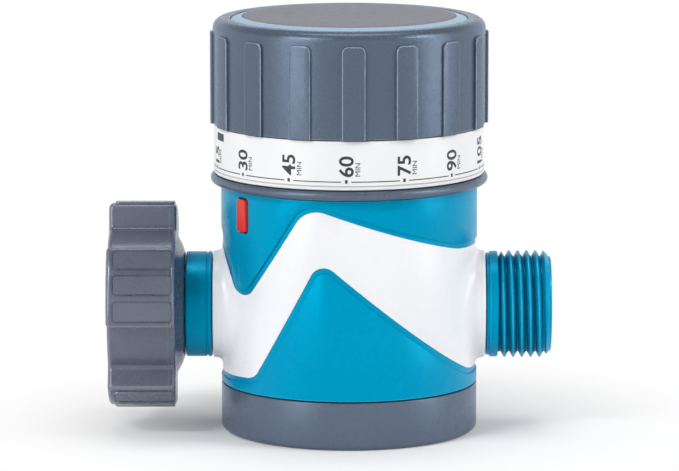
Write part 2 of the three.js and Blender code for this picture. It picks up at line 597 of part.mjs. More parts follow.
function bezelRing() {
  const mid = FLANGE_Z + FLANGE_H / 2;
  const body = turned([
    [PLATE_R + 0.6, FLANGE_Z], [FLANGE_R - 0.9, FLANGE_Z], [FLANGE_R - 0.2, FLANGE_Z + 0.45], [FLANGE_R, mid],
    [FLANGE_R - 0.2, FLANGE_TOP - 0.45], [FLANGE_R - 0.9, FLANGE_TOP], [PLATE_R + 0.6, FLANGE_TOP],
  ], ROUND);
  const holes = BEZEL_SCREW_ANGLES.flatMap((a) => {
    const [x, y] = polar(BEZEL_SCREW_CIRCLE, a);
    return [
      rod(SCREW_R + GAP, FLANGE_Z - 1, FLANGE_TOP + 1, FINE, at(x, y)),
      rod(SCREW_HEAD_R + GAP, FLANGE_TOP - SCREW_HEAD_T, FLANGE_TOP + 1, FINE, at(x, y)),
    ];
  });
  return cut(body, ...holes);
}

// ---------------------------------------------------------------- inlet fitting

function nutOutline() {
  const lobeR = NUT_R - NUT_PAD;
  const points = [];
  for (let lobe = 0; lobe < NUT_LOBES; lobe++) {
    const centre = (lobe * 360) / NUT_LOBES;
    const gap = 360 / NUT_LOBES - 2 * NUT_LOBE_HALF;
    const marks = [
      [-NUT_LOBE_HALF - 1, NUT_VALLEY_R + 1.4], [-NUT_LOBE_HALF, lobeR - 2.0],
      [-NUT_LOBE_HALF + 1.5, lobeR - 0.7],
      [-NUT_LOBE_HALF + 4, lobeR], [-10, lobeR], [0, lobeR], [10, lobeR], [NUT_LOBE_HALF - 4, lobeR],
      [NUT_LOBE_HALF - 1.5, lobeR - 0.7],
      [NUT_LOBE_HALF, lobeR - 2.0], [NUT_LOBE_HALF + 1, NUT_VALLEY_R + 1.4],
      [NUT_LOBE_HALF + gap / 4, NUT_VALLEY_R + 0.2], [NUT_LOBE_HALF + gap / 2, NUT_VALLEY_R],
      [NUT_LOBE_HALF + (3 * gap) / 4, NUT_VALLEY_R + 0.2],
    ];
    points.push(...marks.map(([angle, r]) => polar(r, centre + angle)));
  }
  return points;
}

function swivelNut() {
  // The nut is drawn along +Z with a lobe at +X, then laid with its front to -X and that lobe to the front.
  const lobeWay = new THREE.Vector3(0, -Math.cos(deg(NUT_TURN)), Math.sin(deg(NUT_TURN)));
  const frontWay = new THREE.Vector3(-1, 0, 0);
  const sideWay = new THREE.Vector3().crossVectors(frontWay, lobeWay);
  const lay = new THREE.Matrix4().makeBasis(lobeWay, sideWay, frontWay).setPosition(0, 0, PIPE_Z);
  const lobes = plate(nutOutline(), NUT_BACK, NUT_FRONT, lay);
  const pads = [];
  for (let i = 0; i < NUT_LOBES * 3; i++) {
    const angle = Math.floor(i / 3) * (360 / NUT_LOBES) + ((i % 3) - 1) * PAD_PITCH;
    const low = (NUT_BACK + NUT_FRONT - PAD_LENGTH) / 2;
    const points = [-1, 0, 1].map((s) => polar(NUT_R, angle + (s * PAD_WIDTH) / 2));
    points.push(...[1, -1].map((s) => polar(NUT_R - 1.6, angle + (s * PAD_WIDTH) / 2)));
    pads.push(plate(points, low, low + PAD_LENGTH, lay));
  }
  const back = INLET_SHOULDER + GAP;
  const hub = turned([
    [0, back], [NUT_HUB_R, back], [NUT_HUB_R + 1.6, back + 0.7], [NUT_VALLEY_R - 1, NUT_BACK + 0.4],
    [NUT_VALLEY_R - 1, NUT_FRONT - 1], [0, NUT_FRONT - 1],
  ], TUBE, lay);
  const neck = rod(INLET_NECK_R + RUN, back - 1, NUT_FRONT, TUBE, lay);
  const bore = turned([
    [0, back + NUT_WALL], [NUT_BORE_R, back + NUT_WALL], [NUT_BORE_R, NUT_FRONT - 0.6],
    [NUT_BORE_R + 0.8, NUT_FRONT + 0.2], [0, NUT_FRONT + 0.2],
  ], TUBE, lay);
  const shell = cut(join(lobes, hub, ...pads), neck, bore);
  const thread = screwRidge(-NUT_FRONT + 1.6, -NUT_FRONT + 1.6 + 3.5 * THREAD_PITCH, NUT_BORE_R, NUT_CREST_R);
  return join(shell, thread);
}

function nutClip() {
  const x = clipX(0) - CLIP_PLAY;
  const innerR = INLET_NECK_R - CLIP_DEPTH + CLIP_PLAY;
  const whole = ring(innerR, NUT_BORE_R - 0.7, x - CLIP_W, x, TUBE, ALONG_PIPE);
  const mouth = block([x - CLIP_W - 1, -3, PIPE_Z - NUT_BORE_R - 1], [x + 1, 3, PIPE_Z - innerR / 2]);
  return cut(whole, mouth);
}

const SCREEN_HOLE_R = 1.1;
const washerX = -(INLET_END + GAP);
const hoseWasher = () =>
  ring(INLET_BORE_R - 0.2, NUT_CREST_R + 0.6, washerX - WASHER_T, washerX, TUBE, ALONG_PIPE);

// Domed strainer that stands in the hose washer.
function inletScreen() {
  const rim = INLET_BORE_R - 0.5;
  const t = 0.6;
  const dome = turned([
    [0, washerX + 3.4], [rim * 0.5, washerX + 3.0], [rim * 0.85, washerX + 1.4], [rim, washerX - 1.0],
    [rim, washerX - 1.6], [rim - t, washerX - 1.6], [rim - t, washerX - 1.0],
    [rim * 0.85 - t, washerX + 1.1], [rim * 0.5 - 0.3, washerX + 2.4], [0, washerX + 2.8],
  ], SMALL, ALONG_PIPE);
  const holes = [];
  for (let i = 0; i < 6; i++) {
    const [y, z] = polar(rim * 0.5, i * 60);
    holes.push(rod(SCREEN_HOLE_R, washerX - 5, washerX + 5, FINE, at(0, y, z).multiply(ALONG_PIPE)));
  }
  return cut(dome, rod(SCREEN_HOLE_R, washerX - 5, washerX + 5, FINE, ALONG_PIPE), ...holes);
}

// ---------------------------------------------------------------- valve

const seatRing = () => join(
  ring(SEAT_R, SEAT_R + SEAT_WALL, SEAT_BOTTOM, PARTITION[1], SMALL),
  ring(SEAT_R, CHAMBER_R - 1.2, SEAT_BOTTOM, PARTITION[0] - GAP, SMALL),
);

function chamberPlug() {
  const top = CHAMBER_BOTTOM - GAP;
  const bottom = top - PLUG_FLANGE_T;
  const flangeR = CHAMBER_R + PLUG_FLANGE_W;
  const body = turned([
    [0, bottom], [flangeR, bottom], [flangeR, top], [CHAMBER_R - GAP, top],
    [CHAMBER_R - GAP, PLUG_TOP - 1.4],
    [CHAMBER_R - GAP - 1.1, PLUG_TOP - 1.4], [CHAMBER_R - GAP - 1.1, PLUG_TOP],
    [SPRING_R - SPRING_WIRE, PLUG_TOP], [SPRING_R - SPRING_WIRE, PLUG_TOP + 1.2], [0, PLUG_TOP + 1.2],
  ], TUBE);
  return cut(body, block([-9, -0.8, bottom - 1], [9, 0.8, bottom + 1]));
}

const plugSeal = () => sealRing(CHAMBER_R - GAP - 0.35, 0.5, PLUG_TOP - 0.75, TUBE);

const fingerPlace = new THREE.Matrix4().makeRotationZ(deg(FINGER_ANGLE));

const bonnetScrewPlaces = BONNET_SCREW_ANGLES.map((a) => at(...polar(BONNET_R - BONNET_SCREW_INSET, a)));
const bonnetScrewSeat = BONNET_TOP - 0.9; // underside of the screw heads
const bonnetScrewTip = CHAMBER_TOP - BONNET_SCREW_DEPTH;

const bonnetScrew = (place) => join(
  rod(BONNET_SCREW_HEAD_R, bonnetScrewSeat, BONNET_TOP + 0.2, FINE, place),
  rod(BONNET_SCREW_R, bonnetScrewTip, BONNET_TOP - 0.5, FINE, place),
);

const bonnetScrewBores = () => bonnetScrewPlaces.map((place) =>
  rod(BONNET_SCREW_R + GAP, bonnetScrewTip - 0.4, CHAMBER_TOP + 1, FINE, place));

function bonnet() {
  const low = CHAMBER_TOP + GAP;
  const body = turned([
    [0, low - 2.6], [CHAMBER_R - GAP - 1.1, low - 2.6], [CHAMBER_R - GAP - 1.1, low - 1.2],
    [CHAMBER_R - GAP, low - 1.2], [CHAMBER_R - GAP, low],
    [BONNET_R, low], [BONNET_R, BONNET_TOP], [0, BONNET_TOP],
  ], TUBE);
  const guides = [-1, 1].map((s) => {
    const inner = FINGER_W / 2 + GAP;
    const [y0, y1] = [Math.min(s * inner, s * (inner + 1.4)), Math.max(s * inner, s * (inner + 1.4))];
    return block([CAM_R + 0.7, y0, BONNET_TOP - 1], [FINGER_REACH, y1, FINGER_TOP + 1.3], fingerPlace);
  });
  const recesses = bonnetScrewPlaces.map((place) => join(
    rod(BONNET_SCREW_HEAD_R + GAP, bonnetScrewSeat - GAP, BONNET_TOP + 1, FINE, place),
    rod(BONNET_SCREW_R + GAP, low - 3, BONNET_TOP, FINE, place),
  ));
  const stemHole = rod(STEM_R + RUN, low - 4, BONNET_TOP + 2, SMALL);
  const sealRoom = rod(STEM_R + 1.9, low - 1.4, low + 0.6, SMALL);
  return cut(join(body, ...guides), stemHole, sealRoom, ...recesses);
}

const bonnetSeal = () => sealRing(CHAMBER_R - GAP - 0.4, 0.5, CHAMBER_TOP + GAP - 1.9, TUBE);
const stemSeal = () =>
  ring(STEM_R + 0.1, STEM_R + 1.6, CHAMBER_TOP + GAP - 1.1, CHAMBER_TOP + GAP + 0.3, SMALL);

function valveStem() {
  const shaft = rod(STEM_R, DISC_TOP + GAP, FINGER_TOP, SMALL);
  const tail = rod(TAIL_R, DISC_BOTTOM - 1, DISC_TOP + 1, FINE);
  const finger = block([0, -FINGER_W / 2, FINGER_LOW], [FINGER_REACH, FINGER_W / 2, FINGER_TOP], fingerPlace);
  return join(shaft, tail, finger);
}

const valveDisc = () => ring(TAIL_R + GAP, DISC_SEAL_R, DISC_TOP - DISC_SEAL_T, DISC_TOP, SMALL);
const discNut = () =>
  ring(TAIL_R + GAP, SPRING_R + SPRING_WIRE, DISC_BOTTOM, DISC_TOP - DISC_SEAL_T - GAP, 6);

function valveSpring() {
  const low = PLUG_TOP + GAP + SPRING_WIRE / 2;
  const high = DISC_BOTTOM - GAP - SPRING_WIRE / 2;
  const steps = Math.round(SPRING_TURNS * FINE);
  const rings = [];
  for (let i = 0; i <= steps; i++) {
    const a = (i / FINE) * 2 * PI;
    const z = low + ((high - low) * i) / steps;
    rings.push([0, 1, 2, 3].map((k) => {
      const b = (k * 2 * PI) / 4;
      const r = SPRING_R + (SPRING_WIRE / 2) * Math.cos(b);
      return [r * Math.cos(a), r * Math.sin(a), z + (SPRING_WIRE / 2) * Math.sin(b)];
    }));
  }
  return skinned(rings);
}

// ---------------------------------------------------------------- dial and knob

function dialRing() {
  const inner = DIAL_R - DIAL_WALL;
  return turned([
    [inner, DIAL_Z], [DIAL_R, DIAL_Z], [DIAL_R, DIAL_TOP], [inner - DIAL_LEDGE, DIAL_TOP],
    [inner - DIAL_LEDGE, DIAL_TOP - DIAL_LEDGE_T], [inner, DIAL_TOP - DIAL_LEDGE_T],
  ], ROUND);
}

function knob() {
  const inner = KNOB_R - KNOB_WALL;
  const under = RECESS_FLOOR - KNOB_WALL;
  const f = KNOB_FILLET;
  const shell = turned([
    [0, RECESS_FLOOR], [ACCENT_R + GAP, RECESS_FLOOR], [ACCENT_R + GAP, KNOB_TOP], [KNOB_R - f, KNOB_TOP],
    [KNOB_R - 0.5 * f, KNOB_TOP - 0.13 * f], [KNOB_R - 0.13 * f, KNOB_TOP - 0.5 * f], [KNOB_R, KNOB_TOP - f],
    [KNOB_R, KNOB_Z], [inner, KNOB_Z], [inner, under - 1], [inner - 1, under], [0, under],
  ], ROUND);
  const ribs = [];
  for (let i = 0; i < RIB_COUNT; i++) {
    const centre = frontAngle(RIB_OFFSET + (i * 360) / RIB_COUNT);
    const [innerR, outerR] = [KNOB_R - KNOB_WALL / 2, KNOB_R + RIB_RISE];
    ribs.push(sector(innerR, outerR, centre, RIB_WIDTH / 2, KNOB_Z, KNOB_TOP - RIB_SHORT, 2));
  }
  const boss = rod(ARBOR_R + 3.5, UPPER_PLATE_Z + PLATE_T + 2, RECESS_FLOOR - 0.5, SMALL);
  const socket = flatShaft(UPPER_PLATE_Z, ARBOR_TOP + GAP, GAP);
  const screwRoom = join(rod(KNOB_SCREW_R + GAP, UPPER_PLATE_Z, RECESS_FLOOR + 1, FINE),
    rod(SCREW_HEAD_R + GAP, RECESS_FLOOR - SCREW_HEAD_T - GAP, RECESS_FLOOR + 1, SMALL));
  return cut(join(shell, boss, ...ribs), socket, screwRoom);
}

function knobScrew() {
  const top = RECESS_FLOOR - 0.1;
  const slot = block([-SCREW_HEAD_R - 1, -SCREW_SLOT_W / 2, top - 0.7],
    [SCREW_HEAD_R + 1, SCREW_SLOT_W / 2, top + 1]);
  const head = cut(rod(SCREW_HEAD_R, top - SCREW_HEAD_T, top, SMALL), slot);
  return join(head, rod(KNOB_SCREW_R, ARBOR_TOP - KNOB_SCREW_LENGTH, top - 1, FINE));
}

const accentRing = () => ring(ACCENT_R - ACCENT_W, ACCENT_R, RECESS_FLOOR + GAP, TOP_FACE, ROUND);
const knobDisc = () => turned([
  [0, RECESS_FLOOR + GAP], [DISC_R, RECESS_FLOOR + GAP], [DISC_R, TOP_FACE - 0.25], [DISC_R - 0.4, TOP_FACE],
  [0, TOP_FACE],
], ROUND);

function arbor() {
  const shaft = flatShaft(CAM_PLATE[0] - 0.1, ARBOR_TOP);
  const collar = rod(ARBOR_R + 1.2, GEAR_Z + WHEEL_T + GAP, GEAR_Z + WHEEL_T + 2, SMALL);
  const screwHole = rod(KNOB_SCREW_R + GAP, ARBOR_TOP - KNOB_SCREW_LENGTH - 1, ARBOR_TOP + 1, FINE);
  return cut(join(shaft, collar), screwHole);
}

// Face cam: a ramp of even pitch, so that the valve moves evenly with the dial.
function cam() {
  const disc = rod(CAM_R, ...CAM_PLATE, TUBE);
  const from = DIAL_FULL - CAM_OVERRUN;
  const to = DIAL_OFF + CAM_OVERRUN;
  const steps = 20;
  const rings = [];
  for (let i = 0; i <= steps; i++) {
    const dial = from + ((to - from) * i) / steps;
    const a = deg(FINGER_ANGLE - dial);
    const low = FINGER_TOP + CAM_GAP + dial * STROKE_PER_DEG;
    const high = CAM_PLATE[0] + 0.5;
    const point = (r, z) => [r * Math.cos(a), r * Math.sin(a), z];
    rings.push([point(CAM_INNER_R, low), point(CAM_R, low), point(CAM_R, high), point(CAM_INNER_R, high)]);
  }
  return cut(join(disc, skinned(rings)), flatShaft(CAM_PLATE[0] - 1, CAM_PLATE[1] + 1, GAP / 2));
}

// ---------------------------------------------------------------- clockwork

// A spur gear outline with slim teeth; turn is a share of one tooth pitch.
function gearOutline(teeth, turn = 0) {
  const pitchR = (MODULE * teeth) / 2;
  const rootR = pitchR - 1.2 * MODULE;
  const tipR = pitchR + 0.85 * MODULE;
  const step = 360 / teeth;
  const points = [];
  for (let i = 0; i < teeth; i++) {
    const a = (i + turn) * step;
    points.push(polar(rootR, a - 0.27 * step), polar(tipR, a - 0.1 * step));
    points.push(polar(tipR, a + 0.1 * step), polar(rootR, a + 0.27 * step));
  }
  return points;
}

const pairDistance = (a, b) => (MODULE * (TEETH[a] + TEETH[b])) / 2;
const TRAIN_R = pairDistance("main", "pinion2");
const chordAngle = (distance) => (2 * Math.asin(distance / (2 * TRAIN_R)) * 180) / PI;
const ANGLE2 = TRAIN_ANGLE;
const ANGLE3 = ANGLE2 + chordAngle(pairDistance("wheel2", "pinion3"));
const ANGLE4 = ANGLE3 + chordAngle(pairDistance("wheel3", "pinion4"));
const ANGLE5 = ANGLE4 + chordAngle(PALLET_DISTANCE);
const level = (n) => GEAR_Z + n * LEVEL_STEP;

// Direction, in degrees, from one train centre to the next.
function heading(fromAngle, toAngle) {
  const [x0, y0] = polar(TRAIN_R, fromAngle);
  const [x1, y1] = polar(TRAIN_R, toAngle);
  return (Math.atan2(y1 - y0, x1 - x0) * 180) / PI;
}

// Shares of a pitch that put a tooth, or a space, on the line of centres.
const toothAt = (teeth, angle) => (angle * teeth) / 360;
const spaceAt = (teeth, angle) => toothAt(teeth, angle) + 0.5;

function mainWheel() {
  const body = plate(gearOutline(TEETH.main, toothAt(TEETH.main, ANGLE2)), level(0), level(0) + WHEEL_T);
  const windows = [0, 120, 240].map((a) => sector(5.5, 9, a, 42, level(0) - 1, level(0) + 3, 3));
  return cut(body, flatShaft(level(0) - 1, level(0) + 3, GAP / 2), ...windows);
}

// A wheel and its pinion on one spindle between the plates.
function wheelAndPinion(angle, pinionTeeth, pinionTurn, pinionLevel, wheelOutline, wheelLevel) {
  const place = at(...polar(TRAIN_R, angle));
  const pinionTop = level(pinionLevel) + WHEEL_T;
  const pinion = plate(gearOutline(pinionTeeth, pinionTurn), level(pinionLevel), pinionTop, place);
  const wheel = plate(wheelOutline, level(wheelLevel), level(wheelLevel) + WHEEL_T, place);
  const spindle = rod(PIVOT_R, LOWER_PLATE_Z + 0.2, UPPER_PLATE_Z + PLATE_T - 0.2, FINE, place);
  const hub = rod(1.4, pinionTop - 0.2, level(wheelLevel) + WHEEL_T + 0.5, FINE, place);
  return join(pinion, wheel, spindle, hub);
}

function secondWheel() {
  const turn = spaceAt(TEETH.pinion2, ANGLE2 + 180);
  const outline = gearOutline(TEETH.wheel2, toothAt(TEETH.wheel2, heading(ANGLE2, ANGLE3)));
  return wheelAndPinion(ANGLE2, TEETH.pinion2, turn, 0, outline, 1);
}

function thirdWheel() {
  const turn = spaceAt(TEETH.pinion3, heading(ANGLE3, ANGLE2));
  const outline = gearOutline(TEETH.wheel3, toothAt(TEETH.wheel3, heading(ANGLE3, ANGLE4)));
  return wheelAndPinion(ANGLE3, TEETH.pinion3, turn, 1, outline, 2);
}

function escapeWheel() {
  const points = [];
  for (let i = 0; i < TEETH.escape; i++) {
    const a = (i * 360) / TEETH.escape;
    points.push(polar(ESCAPE_R - 1.6, a), polar(ESCAPE_R, a + 14), polar(ESCAPE_R - 0.2, a + 18));
  }
  const turn = spaceAt(TEETH.pinion4, heading(ANGLE4, ANGLE3));
  return wheelAndPinion(ANGLE4, TEETH.pinion4, turn, 2, points, 3);
}

// Anchor with two pins that stand just clear of the escape wheel.
function pallet() {
  const [cx, cy] = polar(TRAIN_R, ANGLE5);
  const towards = heading(ANGLE5, ANGLE4);
  const place = at(cx, cy).multiply(new THREE.Matrix4().makeRotationZ(deg(towards)));
  const low = level(3) + WHEEL_T + GAP;
  const outline = [[-2, -1.2], [2.4, -5.5], [3.7, -4.9], [1.2, 0], [3.7, 4.9], [2.4, 5.5], [-2, 1.2]];
  const arms = plate(outline, low, low + 0.7, place);
  const pins = [-1, 1].map((s) =>
    rod(0.45, level(3), low + 0.5, FINE, place.clone().multiply(at(2.9, 4.9 * s))));
  const spindle = rod(PIVOT_R, LOWER_PLATE_Z + 0.2, UPPER_PLATE_Z + PLATE_T - 0.2, FINE, place);
  return join(arms, spindle, ...pins);
}

function mainspring() {
  const low = UPPER_PLATE_Z - GAP - MAINSPRING_H;
  const steps = MAINSPRING_TURNS * SMALL;
  const [r0, r1] = MAINSPRING_R;
  const rings = [];
  for (let i = 0; i <= steps; i++) {
    const a = PI - (i / SMALL) * 2 * PI;
    const r = r0 + ((r1 - r0) * i) / steps;
    const point = (radius, z) => [radius * Math.cos(a), radius * Math.sin(a), z];
    rings.push([
      point(r, low), point(r + MAINSPRING_T, low),
      point(r + MAINSPRING_T, low + MAINSPRING_H), point(r, low + MAINSPRING_H),
    ]);
  }
  return skinned(rings);
}

function movementPlate(low) {
  const disc = rod(PLATE_R, low, low + PLATE_T, ROUND);
  const pivots = [ANGLE2, ANGLE3, ANGLE4, ANGLE5].map((a) =>
    rod(PIVOT_R + RUN, low - 1, low + PLATE_T + 1, FINE, at(...polar(TRAIN_R, a))));
  return cut(disc, rod(ARBOR_R + RUN, low - 1, low + PLATE_T + 1, SMALL), ...pivots);
}

function pillar([radius, angle]) {
  return rod(PILLAR_R, LOWER_PLATE_Z + PLATE_T + GAP, UPPER_PLATE_Z - GAP, FINE, at(...polar(radius, angle)));
}

// ---------------------------------------------------------------- assembly

const finish = (color, roughness, metalness = 0) =>
  new THREE.MeshStandardMaterial({ color, roughness, metalness });
const TEAL = finish(0x0aa3cc, 0.35);
const GREY = finish(0x666e7c, 0.45);
const WHITE = finish(0xf2f4f8, 0.35);
const RED = finish(0xd9352f, 0.4);
const BLUE = finish(0x7fb4cc, 0.35);
const BLACK = finish(0x1b1c1e, 0.8);
const STEEL = finish(0xb4b8bc, 0.3, 1);
const BRASS = finish(0xc8a45a, 0.35, 1);
const NATURAL = finish(0xe4e2d8, 0.5);

function named(name, shape, material) {
  const mesh = shape.getMesh();
  const geometry = new THREE.BufferGeometry();
  const xyz = new Float32Array(mesh.numVert * 3);
  for (let i = 0; i < mesh.numVert; i++) {
    xyz.set(mesh.vertProperties.subarray(i * mesh.numProp, i * mesh.numProp + 3), i * 3);
  }
  geometry.setAttribute("position", new THREE.BufferAttribute(xyz, 3));
  geometry.setIndex(new THREE.BufferAttribute(mesh.triVerts, 1));
  geometry.computeVertexNormals();
  const node = new THREE.Mesh(geometry, material);
  node.name = name;
  return node;
}

function group(...nodes) {
  const holder = new THREE.Group();
  holder.add(...nodes);
  return holder;
}

const casing = group(
  named("housing", housing(), TEAL),
  named("front_band", band(-1), WHITE),
  named("rear_band", band(1), WHITE),
  named("base_cap", baseCap(), GREY),
  named("base_seal", baseGasket(), BLACK),
  named("bezel_ring", bezelRing(), GREY),
  named("pointer", pointer(), RED),
  ...BASE_SCREW_ANGLES.map((a, i) => {
    const [x, y] = polar(BASE_SCREW_CIRCLE, a);
    return named(`base_screw_${i + 1}`, screw(x, y, 0.5, BASE_H + BASE_SCREW_LENGTH), STEEL);
  }),
  ...BEZEL_SCREW_ANGLES.map((a, i) => {
    const [x, y] = polar(BEZEL_SCREW_CIRCLE, a);
    const tip = HOUSING_TOP - BEZEL_SCREW_LENGTH;
    return named(`bezel_screw_${i + 1}`, screw(x, y, FLANGE_TOP + 0.1, tip), STEEL);
  }),
);

const inletFitting = group(
  named("swivel_nut", swivelNut(), GREY),
  named("nut_clip", nutClip(), STEEL),
  named("hose_washer", hoseWasher(), BLACK),
  named("inlet_screen", inletScreen(), NATURAL),
);

const valve = group(
  named("seat_ring", seatRing(), BRASS),
  named("chamber_plug", chamberPlug(), NATURAL),
  named("plug_seal", plugSeal(), BLACK),
  named("bonnet", bonnet(), NATURAL),
  named("bonnet_seal", bonnetSeal(), BLACK),
  named("stem_seal", stemSeal(), BLACK),
  ...bonnetScrewPlaces.map((place, i) => named(`bonnet_screw_${i + 1}`, bonnetScrew(place), STEEL)),
  named("valve_stem", valveStem(), NATURAL),
  named("valve_disc", valveDisc(), BLACK),
  named("disc_nut", discNut(), BRASS),
  named("valve_spring", valveSpring(), STEEL),
);

const dial = group(
  named("dial_ring", dialRing(), WHITE),
  named("knob", knob(), GREY),
  named("knob_disc", knobDisc(), GREY),
  named("accent_ring", accentRing(), BLUE),
  named("knob_screw", knobScrew(), STEEL),
  named("arbor", arbor(), STEEL),
  named("cam", cam(), NATURAL),
  named("main_wheel", mainWheel(), BRASS),
);

const movement = group(
  named("lower_plate", movementPlate(LOWER_PLATE_Z), BRASS),
  named("upper_plate", movementPlate(UPPER_PLATE_Z), BRASS),
  ...PILLARS.map((place, i) => named(`pillar_${i + 1}`, pillar(place), STEEL)),
  named("mainspring", mainspring(), STEEL),
  named("second_wheel", secondWheel(), BRASS),
  named("third_wheel", thirdWheel(), BRASS),
  named("escape_wheel", escapeWheel(), BRASS),
  named("pallet", pallet(), STEEL),
);

export default group(casing, inletFitting, valve, dial, movement);
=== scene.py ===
"""Looks of a round wind-up tap timer, laid out as an add-on: each operator models one piece or set of pieces."""

import json
import math
from contextlib import contextmanager

import bmesh
import bpy
from bpy.props import FloatProperty, FloatVectorProperty, IntProperty, PointerProperty
from mathutils import Matrix, Vector


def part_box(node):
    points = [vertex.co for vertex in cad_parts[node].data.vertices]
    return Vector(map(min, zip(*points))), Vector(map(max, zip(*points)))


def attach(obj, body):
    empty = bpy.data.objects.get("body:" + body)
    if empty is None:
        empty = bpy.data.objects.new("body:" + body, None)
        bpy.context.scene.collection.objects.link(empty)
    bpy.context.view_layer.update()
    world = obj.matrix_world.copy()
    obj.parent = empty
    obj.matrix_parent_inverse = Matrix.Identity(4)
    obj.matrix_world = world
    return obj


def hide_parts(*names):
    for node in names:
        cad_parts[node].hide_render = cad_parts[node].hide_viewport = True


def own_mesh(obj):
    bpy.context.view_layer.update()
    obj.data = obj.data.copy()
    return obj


bl_info = {
    "name": "Tap Timer Looks",
    "version": (1, 0, 0),
    "blender": (4, 5, 0),
    "location": "View3D > Sidebar > Tap Timer",
    "description": "Models and finishes the visible pieces of a mechanical tap timer",
    "category": "Object",
}

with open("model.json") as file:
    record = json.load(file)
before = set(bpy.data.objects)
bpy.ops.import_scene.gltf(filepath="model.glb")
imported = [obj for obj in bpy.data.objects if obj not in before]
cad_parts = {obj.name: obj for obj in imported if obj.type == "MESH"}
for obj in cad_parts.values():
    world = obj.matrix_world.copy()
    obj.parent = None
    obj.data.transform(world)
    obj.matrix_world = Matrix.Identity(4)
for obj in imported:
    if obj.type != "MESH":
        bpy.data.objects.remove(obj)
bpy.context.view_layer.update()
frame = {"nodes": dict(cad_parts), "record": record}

MM = 0.001
FULL_TURN = 2 * math.pi
GAP = 0.3 * MM  # clearance between pieces that meet
PAST = 1 * MM  # how far a cutting tool runs past the wall that it cuts
ROUND = 256  # facets round the casing, the dial and the knob
PIPE_ROUND = 128  # facets round the larger pieces on the pipe
BORE_ROUND = 96  # facets round the bores
MERGE_DISTANCE = 1e-6

# ---------------------------------------------------------------- places read from the frame


def low(node):
    """The low corner of the node's box."""
    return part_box(node)[0]


def high(node):
    """The high corner of the node's box."""
    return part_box(node)[1]


BODY_R = high("base_cap").x
HOUSING_LOW, HOUSING_HIGH = low("housing").z, high("housing").z
BASE_TOP = HOUSING_LOW - GAP
FLANGE_LOW, FLANGE_HIGH = low("bezel_ring").z, high("bezel_ring").z
FLANGE_R = high("bezel_ring").x
DIAL_LOW, DIAL_HIGH = low("dial_ring").z, high("dial_ring").z
DIAL_R = high("dial_ring").x
KNOB_LOW, KNOB_HIGH = DIAL_HIGH + GAP, high("knob").z
TOP_FACE = high("knob_disc").z
RECESS_FLOOR = low("knob_disc").z - GAP
DISC_R = high("knob_disc").x
ACCENT_R = high("accent_ring").x
PIPE_Z = (low("hose_washer").z + high("hose_washer").z) / 2
COLLAR_END = high("front_band").x
OUTLET_END = high("housing").x
INLET_END = -low("housing").x
WASHER_R = high("hose_washer").z - PIPE_Z
WASHER_X = (high("hose_washer").x, low("hose_washer").x)
NUT_FRONT = -low("swivel_nut").x - 0.6 * MM
NUT_REAR = -high("swivel_nut").x

# ---------------------------------------------------------------- sizes of the visible forms

BAND_R = BODY_R - 0.35 * MM
BAND_FLOOR_R = BAND_R - 1.35 * MM
INNER_R = BODY_R - 2.8 * MM
NECK_R = 11.3 * MM
COLLAR_R = 13.5 * MM
INLET_PIPE_R = 13.3 * MM
INLET_SHOULDER = COLLAR_END + 6.8 * MM
INLET_NECK_R = 10.6 * MM
INLET_BORE_R = 8.4 * MM
OUTLET_BORE_R = 9.5 * MM
RING_R = 13.35 * MM
RING_END = COLLAR_END + 3.2 * MM
THREAD_ROOT_R = 12.05 * MM
THREAD_MAJOR_R = 13.45 * MM
NUT_LOBE_R = high("swivel_nut").y - 0.5 * MM
NUT_BACK = INLET_SHOULDER + 2.4 * MM
NUT_BORE_R = THREAD_MAJOR_R + GAP
NUT_CREST_R = NUT_BORE_R - 1.15 * MM
NUT_VALLEY_R = 19.6 * MM
NUT_HUB_R = 13.4 * MM
KNOB_R = BODY_R + 2.0 * MM
CHAMBER_R = 8.6 * MM
CHAMBER_WALL = 5.9 * MM
CHAMBER_LOW, CHAMBER_HIGH = PIPE_Z - 18.9 * MM, PIPE_Z + 11.1 * MM
PARTITION_LOW, PARTITION_HIGH = PIPE_Z - 1.2 * MM, PIPE_Z + 1.0 * MM  # wall between the chamber's two halves
BONNET_ROOM_R, BONNET_ROOM_HIGH = CHAMBER_R + 5 * MM, PIPE_Z + 19 * MM
PORT_R = 6.4 * MM
FITTING_ROOT = BODY_R - 3.8 * MM  # where the pipe ends start, inside the barrel's wall
TOOL_REACH = BODY_R + 9 * MM  # how far the tools for the bands reach


def length_property(name, description, default, least=0.0):
    return FloatProperty(name=name, description=description, default=default, min=least,
                         unit="LENGTH", subtype="DISTANCE")


class TimerSizes(bpy.types.PropertyGroup):
    """Sizes that shape the finish of the timer."""

    border_width: length_property("Border width", "Width of the sunk border round the side bands", 1.3 * MM)
    border_depth: length_property("Border depth", "Depth of the sunk border in the barrel", 0.42 * MM)
    band_edge: length_property("Band edge", "Rounding of the outer edge of the side bands", 0.22 * MM)
    collar_flare: length_property("Collar flare", "Smallest fillet between a collar and its band", 2.0 * MM)
    thread_pitch: length_property("Thread pitch", "Pitch of the hose threads", 2.209 * MM, 0.5 * MM)
    rib_width: FloatProperty(
        name="Rib width", description="Width of a rib on the knob, as an angle",
        default=math.radians(9.5), min=0, unit="ROTATION", subtype="ANGLE")
    rib_height: length_property("Rib height", "How far a rib stands out from the knob", 0.7 * MM)
    rib_count: IntProperty(
        name="Ribs", description="Number of ribs round the knob", default=16, min=3)
    nut_edge: length_property("Nut edge", "Rounding of the front and rear edges of the nut", 1.35 * MM)
    knob_edge: length_property("Knob shoulder", "Rounding of the upper edge of the knob", 2.6 * MM)
    digit_size: length_property("Digit size", "Height of the minute figures", 3.4 * MM)


def colour_property(name, description, default):
    return FloatVectorProperty(name=name, description=description, default=default,
                               size=3, min=0, max=1, subtype="COLOR")


